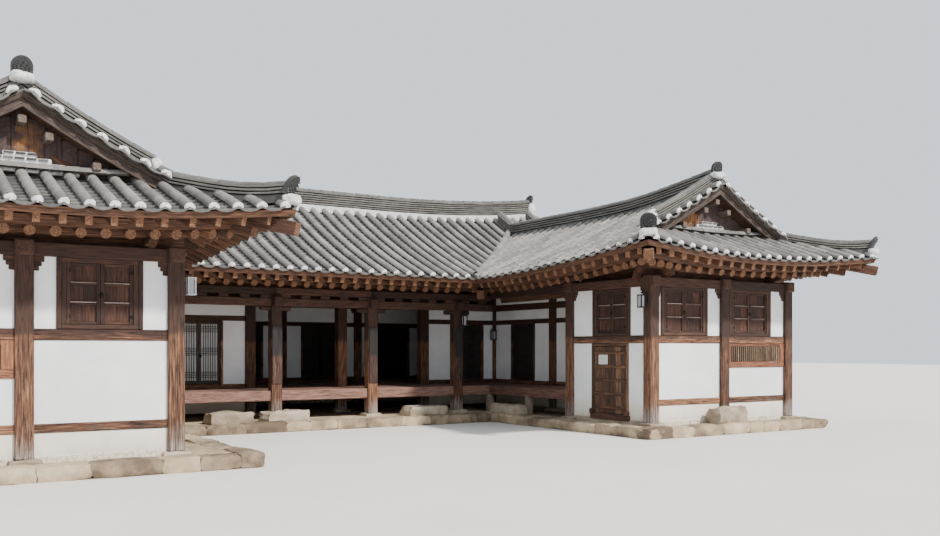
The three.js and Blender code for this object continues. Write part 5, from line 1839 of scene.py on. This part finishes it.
def floors():
    edge = Piece("floor_edges", BOARDS, "floor_boards")
    planks = Piece("floor_planks", BOARDS, "floor_boards", stands_for=["hall_floor"])
    low, high = FLOOR - 0.2, FLOOR
    back = BACK - 0.1
    stops = (-COURT - RAIL, *PORCH_POSTS, COURT + RAIL)
    for a, b in zip(stops, stops[1:]):
        timber(edge, (a, PORCH - RAIL, low), (b, PORCH + RAIL, high), axis=0, bevel=RAIL_BEVEL, tone=0.35)
    half = 0.055
    for x in JOISTS:
        near = (x - half, PORCH + RAIL, low + 0.03)
        timber(planks, near, (x + half, back, high - 0.001), axis=1)
    for a, b in zip(JOISTS, JOISTS[1:]):
        lay_planks(planks, a + half, b - half, PORCH + RAIL, back)
    for side in CUTS:
        near, far = sorted((side * (COURT - RAIL), side * (COURT + RAIL)))
        for a, b in ((ROOM_END + POST, RECESS_POST), (RECESS_POST, PORCH)):
            timber(edge, (near, a, low), (far, b, high), axis=1, bevel=RAIL_BEVEL, tone=-0.3)
        near, far = sorted((side * (COURT + RAIL), side * JOISTS[-1]))
        lay_planks(planks, near, far, ROOM_END + POST, PORCH + RAIL)
    edge.close()
    planks.close()
    props = Piece("floor_props", FOOT_STONE, "stone")
    for side in CUTS:
        for x, y in ((side * COURT, PORCH), (side * COURT, 3.65)):
            stone(props, (x - 0.06, y - 0.06, PLATFORM - 0.01), (x + 0.06, y + 0.06, low + 0.004), 0.01, 2)
    props.close(50)


def lay_planks(piece, x0, x1, y0, y1):
    """Short boards across, from y0 to y1."""
    y = y0
    while y < y1 - 0.08:
        depth = min(random.uniform(0.24, 0.32), y1 - y)
        timber(piece, (x0, y, FLOOR - 0.05), (x1, y + depth - 0.004, FLOOR), axis=0, bevel=0.004)
        y += depth


# Stones


def stone(piece, low, high, rough=0.024, cuts=5):
    """One rough stone, its corners worn round."""
    low, high = Vector(low), Vector(high)
    spot = (low + high) / 2
    bm = worn_block(cuts, 0.16)
    roughen(bm, 2.6, low * 7, 0.05)
    resize(bm, (high - low) * 1.12)
    mark(bm)
    for vert in bm.verts:
        for scale, share in ((3.0, 1.2), (9.0, 0.9), (23.0, 0.45)):
            vert.co += noise.noise_vector((vert.co + spot) * scale) * rough * share
    move(bm, spot)
    piece.add(bm)


def edge_stones(piece, x0, x1, y0, y1, sides):
    """A kerb of stones along the sides of a platform, named by the way each faces."""
    lines = {
        "front": ((x0, y0), (x1, y0), (0, 1)), "back": ((x0, y1), (x1, y1), (0, -1)),
        "left": ((x0, y0), (x0, y1), (1, 0)), "right": ((x1, y0), (x1, y1), (-1, 0)),
    }
    for name in sides:
        first, last, inward = (Vector(p) for p in lines[name])
        run = last - first
        length = run.length
        way = run / length
        place = 0.0
        while place < length - 0.05:
            size = random.uniform(*KERB_STONE)
            if length - place - size < 0.3:
                size = length - place
            deep = random.uniform(0.26, 0.4)
            a = first + way * place
            b = first + way * (place + size - 0.008) + inward * deep
            low = (min(a.x, b.x), min(a.y, b.y), GROUND + 0.004)
            high = (max(a.x, b.x), max(a.y, b.y), PLATFORM + random.uniform(-0.012, 0.008))
            stone(piece, low, high, 0.014)
            place += size


def platform(label, x0, x1, y0, y1, sides, feet, steps=()):
    bed = Piece(f"{label}_platform_bed", PLATFORM_STONE, "stone", stands_for=[f"{label}_platform"])
    timber(bed, (x0 + 0.12, y0 + 0.12, GROUND), (x1 - 0.12, y1 - 0.12, PLATFORM - 0.015), bevel=0.01)
    bed.close()
    kerb = Piece(f"{label}_kerb_stones", PLATFORM_STONE, "stone")
    edge_stones(kerb, x0, x1, y0, y1, sides)
    kerb.close(50)
    stones = Piece(f"{label}_foot_stones", FOOT_STONE, "stone")
    for x, y in feet:
        half = random.uniform(0.16, 0.185)
        stone(stones, (x - half, y - half, PLATFORM - 0.06), (x + half, y + half, -0.001), 0.012)
    for x0, x1, y0, y1, top in steps:
        stone(stones, (x0, y0, PLATFORM - 0.03), (x1, y1, top), 0.04, 4)
    stones.close(50)


def platforms():
    outer = OUTER + PLATFORM_EDGE
    y0, y1 = FRONT - PLATFORM_EDGE, BACK + PLATFORM_EDGE
    for side, label, inner in ((-1, "left", COURT - LEFT_COURT_EDGE), (1, "right", COURT - PLATFORM_EDGE)):
        feet = [(side * x, FRONT) for x in (COURT, WING_CENTRE, OUTER)]
        feet += [(side * OUTER, y) for y in (*OUTER_POSTS, BACK)]
        feet += [(side * COURT, ROOM_END)]
        feet += [(side * RECESS, y) for y in (ROOM_END, RECESS_POST, INNER, BACK)]
        x0, x1 = sorted((side * inner, side * outer))
        steps = [(3.64, 4.04, 3.5, 4.3, 0.15), (5.42, 6.14, -0.42, -0.12, 0.24)] if side > 0 else []
        platform(label, x0, x1, y0, y1, ("front", "back", "left", "right"), feet, steps)
    steps = [(x - n / 2, x + n / 2, 4.48, 4.88, 0.13) for x, n in ((-1.9, 0.8), (-0.8, 0.85), (2.25, 0.9))]
    feet = [(x, y) for x in PORCH_POSTS for y in (PORCH, INNER, BACK)]
    platform("middle", -3.16, 3.6, PORCH - 0.9, y1, ("front", "back"), feet, steps)


def wall_feet():
    """Clay and small stones that close the gap between the walls and the platforms."""
    clay = Piece("wall_feet", CREAM, "plaster")
    dark = Piece("side_wall_feet", FOOT_STONE, "stone")

    def foot(piece, matrix, a, b):
        timber(piece, (a + POST, -0.05, PLATFORM - 0.03), (b - POST, 0.05, 0.035), matrix, bevel=RAIL_BEVEL)

    for side in CUTS:
        for piece, matrix, stops in (
            (clay, along_x(side, FRONT, -1), (COURT, WING_CENTRE, OUTER)),
            (dark, along_y(side, COURT, -1), (FRONT, ROOM_END)),
            (clay, along_y(side, OUTER, 1), (FRONT, *OUTER_POSTS, BACK)),
            (dark, along_y(side, RECESS, -1), (ROOM_END, RECESS_POST, INNER)),
        ):
            for a, b in zip(stops, stops[1:]):
                foot(piece, matrix, a, b)
    back = along_x(1, BACK, 1)
    for a, b in zip(BACK_POSTS, BACK_POSTS[1:]):
        foot(clay, back, a, b)
        if a > -RECESS - 0.1 and b < RECESS + 0.1:
            timber(dark, (a + POST, -0.04, 0.03), (b - POST, 0.03, SILL[0]), back, bevel=0.01)
    clay.close()
    dark.close()


# Lanterns and bare boards on the posts


def lanterns():
    """Small lanterns on brackets beside four posts."""
    frames = Piece("lantern_frames", DARK, "dark_wood")
    pale = Piece("pale_lantern_frames", PAPER, "plaster")
    papers = Piece("lantern_papers", LAMP_GLASS, "plaster")
    left, right = along_y(-1, COURT, -1), along_y(1, COURT, -1)
    porch, hall = along_x(1, PORCH, -1), along_x(1, INNER, -1)
    spots = (
        (left, pale, 0.05, 0.225, 2.03), (right, frames, 0.02, 0.21, 2.05),
        (porch, frames, 3.36, 0.19, 1.82), (hall, frames, 5.12, 0.17, 1.54),
    )
    for matrix, rims, u, w, z in spots:
        half, top = 0.046, z + 0.2
        glass = half - 0.012
        timber(papers, (u - glass, w - glass, z), (u + glass, w + glass, top), matrix)
        for a in (-half, half):
            for b in (-half, half):
                low = (u + a - 0.009, w + b - 0.009, z - 0.01)
                timber(rims, low, (u + a + 0.009, w + b + 0.009, top + 0.01), matrix, bevel=0.002)
        lid = half + 0.014
        for z0 in (z - 0.014, top):
            timber(rims, (u - lid, w - lid, z0), (u + lid, w + lid, z0 + 0.018), matrix, bevel=0.003)
        bracket = (u - 0.012, 0.06, top + 0.04)
        timber(frames, bracket, (u + 0.012, w + 0.02, top + 0.06), matrix, bevel=0.003)
        pole_in(frames, matrix, (u, w, top), (u, w, top + 0.06), 0.006)
    frames.close()
    pale.close()
    papers.close()


def bare_boards():
    """Narrow boards with nothing on them, hung on three porch posts."""
    boards = Piece("post_boards", HUNG_BOARD, "dark_wood")
    matrix = along_x(1, PORCH, -1)
    for u, half, z0, z1 in ((-0.84, 0.1, 0.64, 1.76), (1.22, 0.095, 0.62, 1.76), (3.28, 0.095, 0.6, 1.78)):
        timber(boards, (u - half, POST - 0.004, z0), (u + half, POST + 0.02, z1), matrix, axis=2)
    boards.close()


roof_bed()
roof_tiles()
for wing in SIDES:
    wing_ridges(*wing)
middle_ridges()
valley_tiles()
gables()
RIDGE_JOINTS.close()
eaves()
purlins()
for wing in SIDES:
    wing_frames(*wing)
vents()
back_timbers()
porch_timbers()
hall_timbers()
shutters()
plank_door()
dark_doors()
back_doors()
lattice_doors()
floors()
platforms()
wall_feet()
lanterns()
bare_boards()


# Stage: pale floor, soft light and the camera


def stage():
    bpy.ops.mesh.primitive_plane_add(size=160, location=(0, 0, -0.002))
    floor = bpy.context.object
    floor.name = "pale_floor"
    floor.data.materials.append(make_plain("pale_floor", (0.78, 0.75, 0.70), 0.95, 0.05, 0.4))
    world = bpy.data.worlds.new("studio")
    world.use_nodes = True
    background = world.node_tree.nodes["Background"]
    background.inputs["Color"].default_value = (0.80, 0.87, 0.95, 1)
    background.inputs["Strength"].default_value = SKY_POWER
    bpy.context.scene.world = world
    sun = bpy.data.lights.new("key", "SUN")
    sun.energy = SUN_POWER
    sun.angle = math.radians(SUN_SIZE)
    sun.color = (1.0, 0.95, 0.88)
    key = bpy.data.objects.new("key", sun)
    key.rotation_euler = (math.radians(SUN_TILT), 0, math.radians(SUN_TURN))
    bpy.context.scene.collection.objects.link(key)


def camera():
    lens = bpy.data.cameras.new("camera")
    lens.lens = CAMERA_LENS
    lens.sensor_width = 36
    lens.shift_y = CAMERA_SHIFT
    lens.clip_end = 400
    eye = bpy.data.objects.new("camera", lens)
    eye.location = CAMERA_PLACE
    eye.rotation_euler = (math.radians(90), 0, math.radians(CAMERA_TURN))
    bpy.context.scene.collection.objects.link(eye)
    bpy.context.scene.camera = eye


LOOKS = {
    "timber": EAVES_TIMBER, "dark_wood": DARK, "floor_boards": BOARDS,
    "plaster": PLASTER, "tile": BED, "stone": PLATFORM_STONE,
}
for part in frame["record"]["subparts"]:
    node = frame["nodes"][part["node"]]
    node.data.materials.clear()
    node.data.materials.append(LOOKS[part["material_slot"]])

stage()
camera()
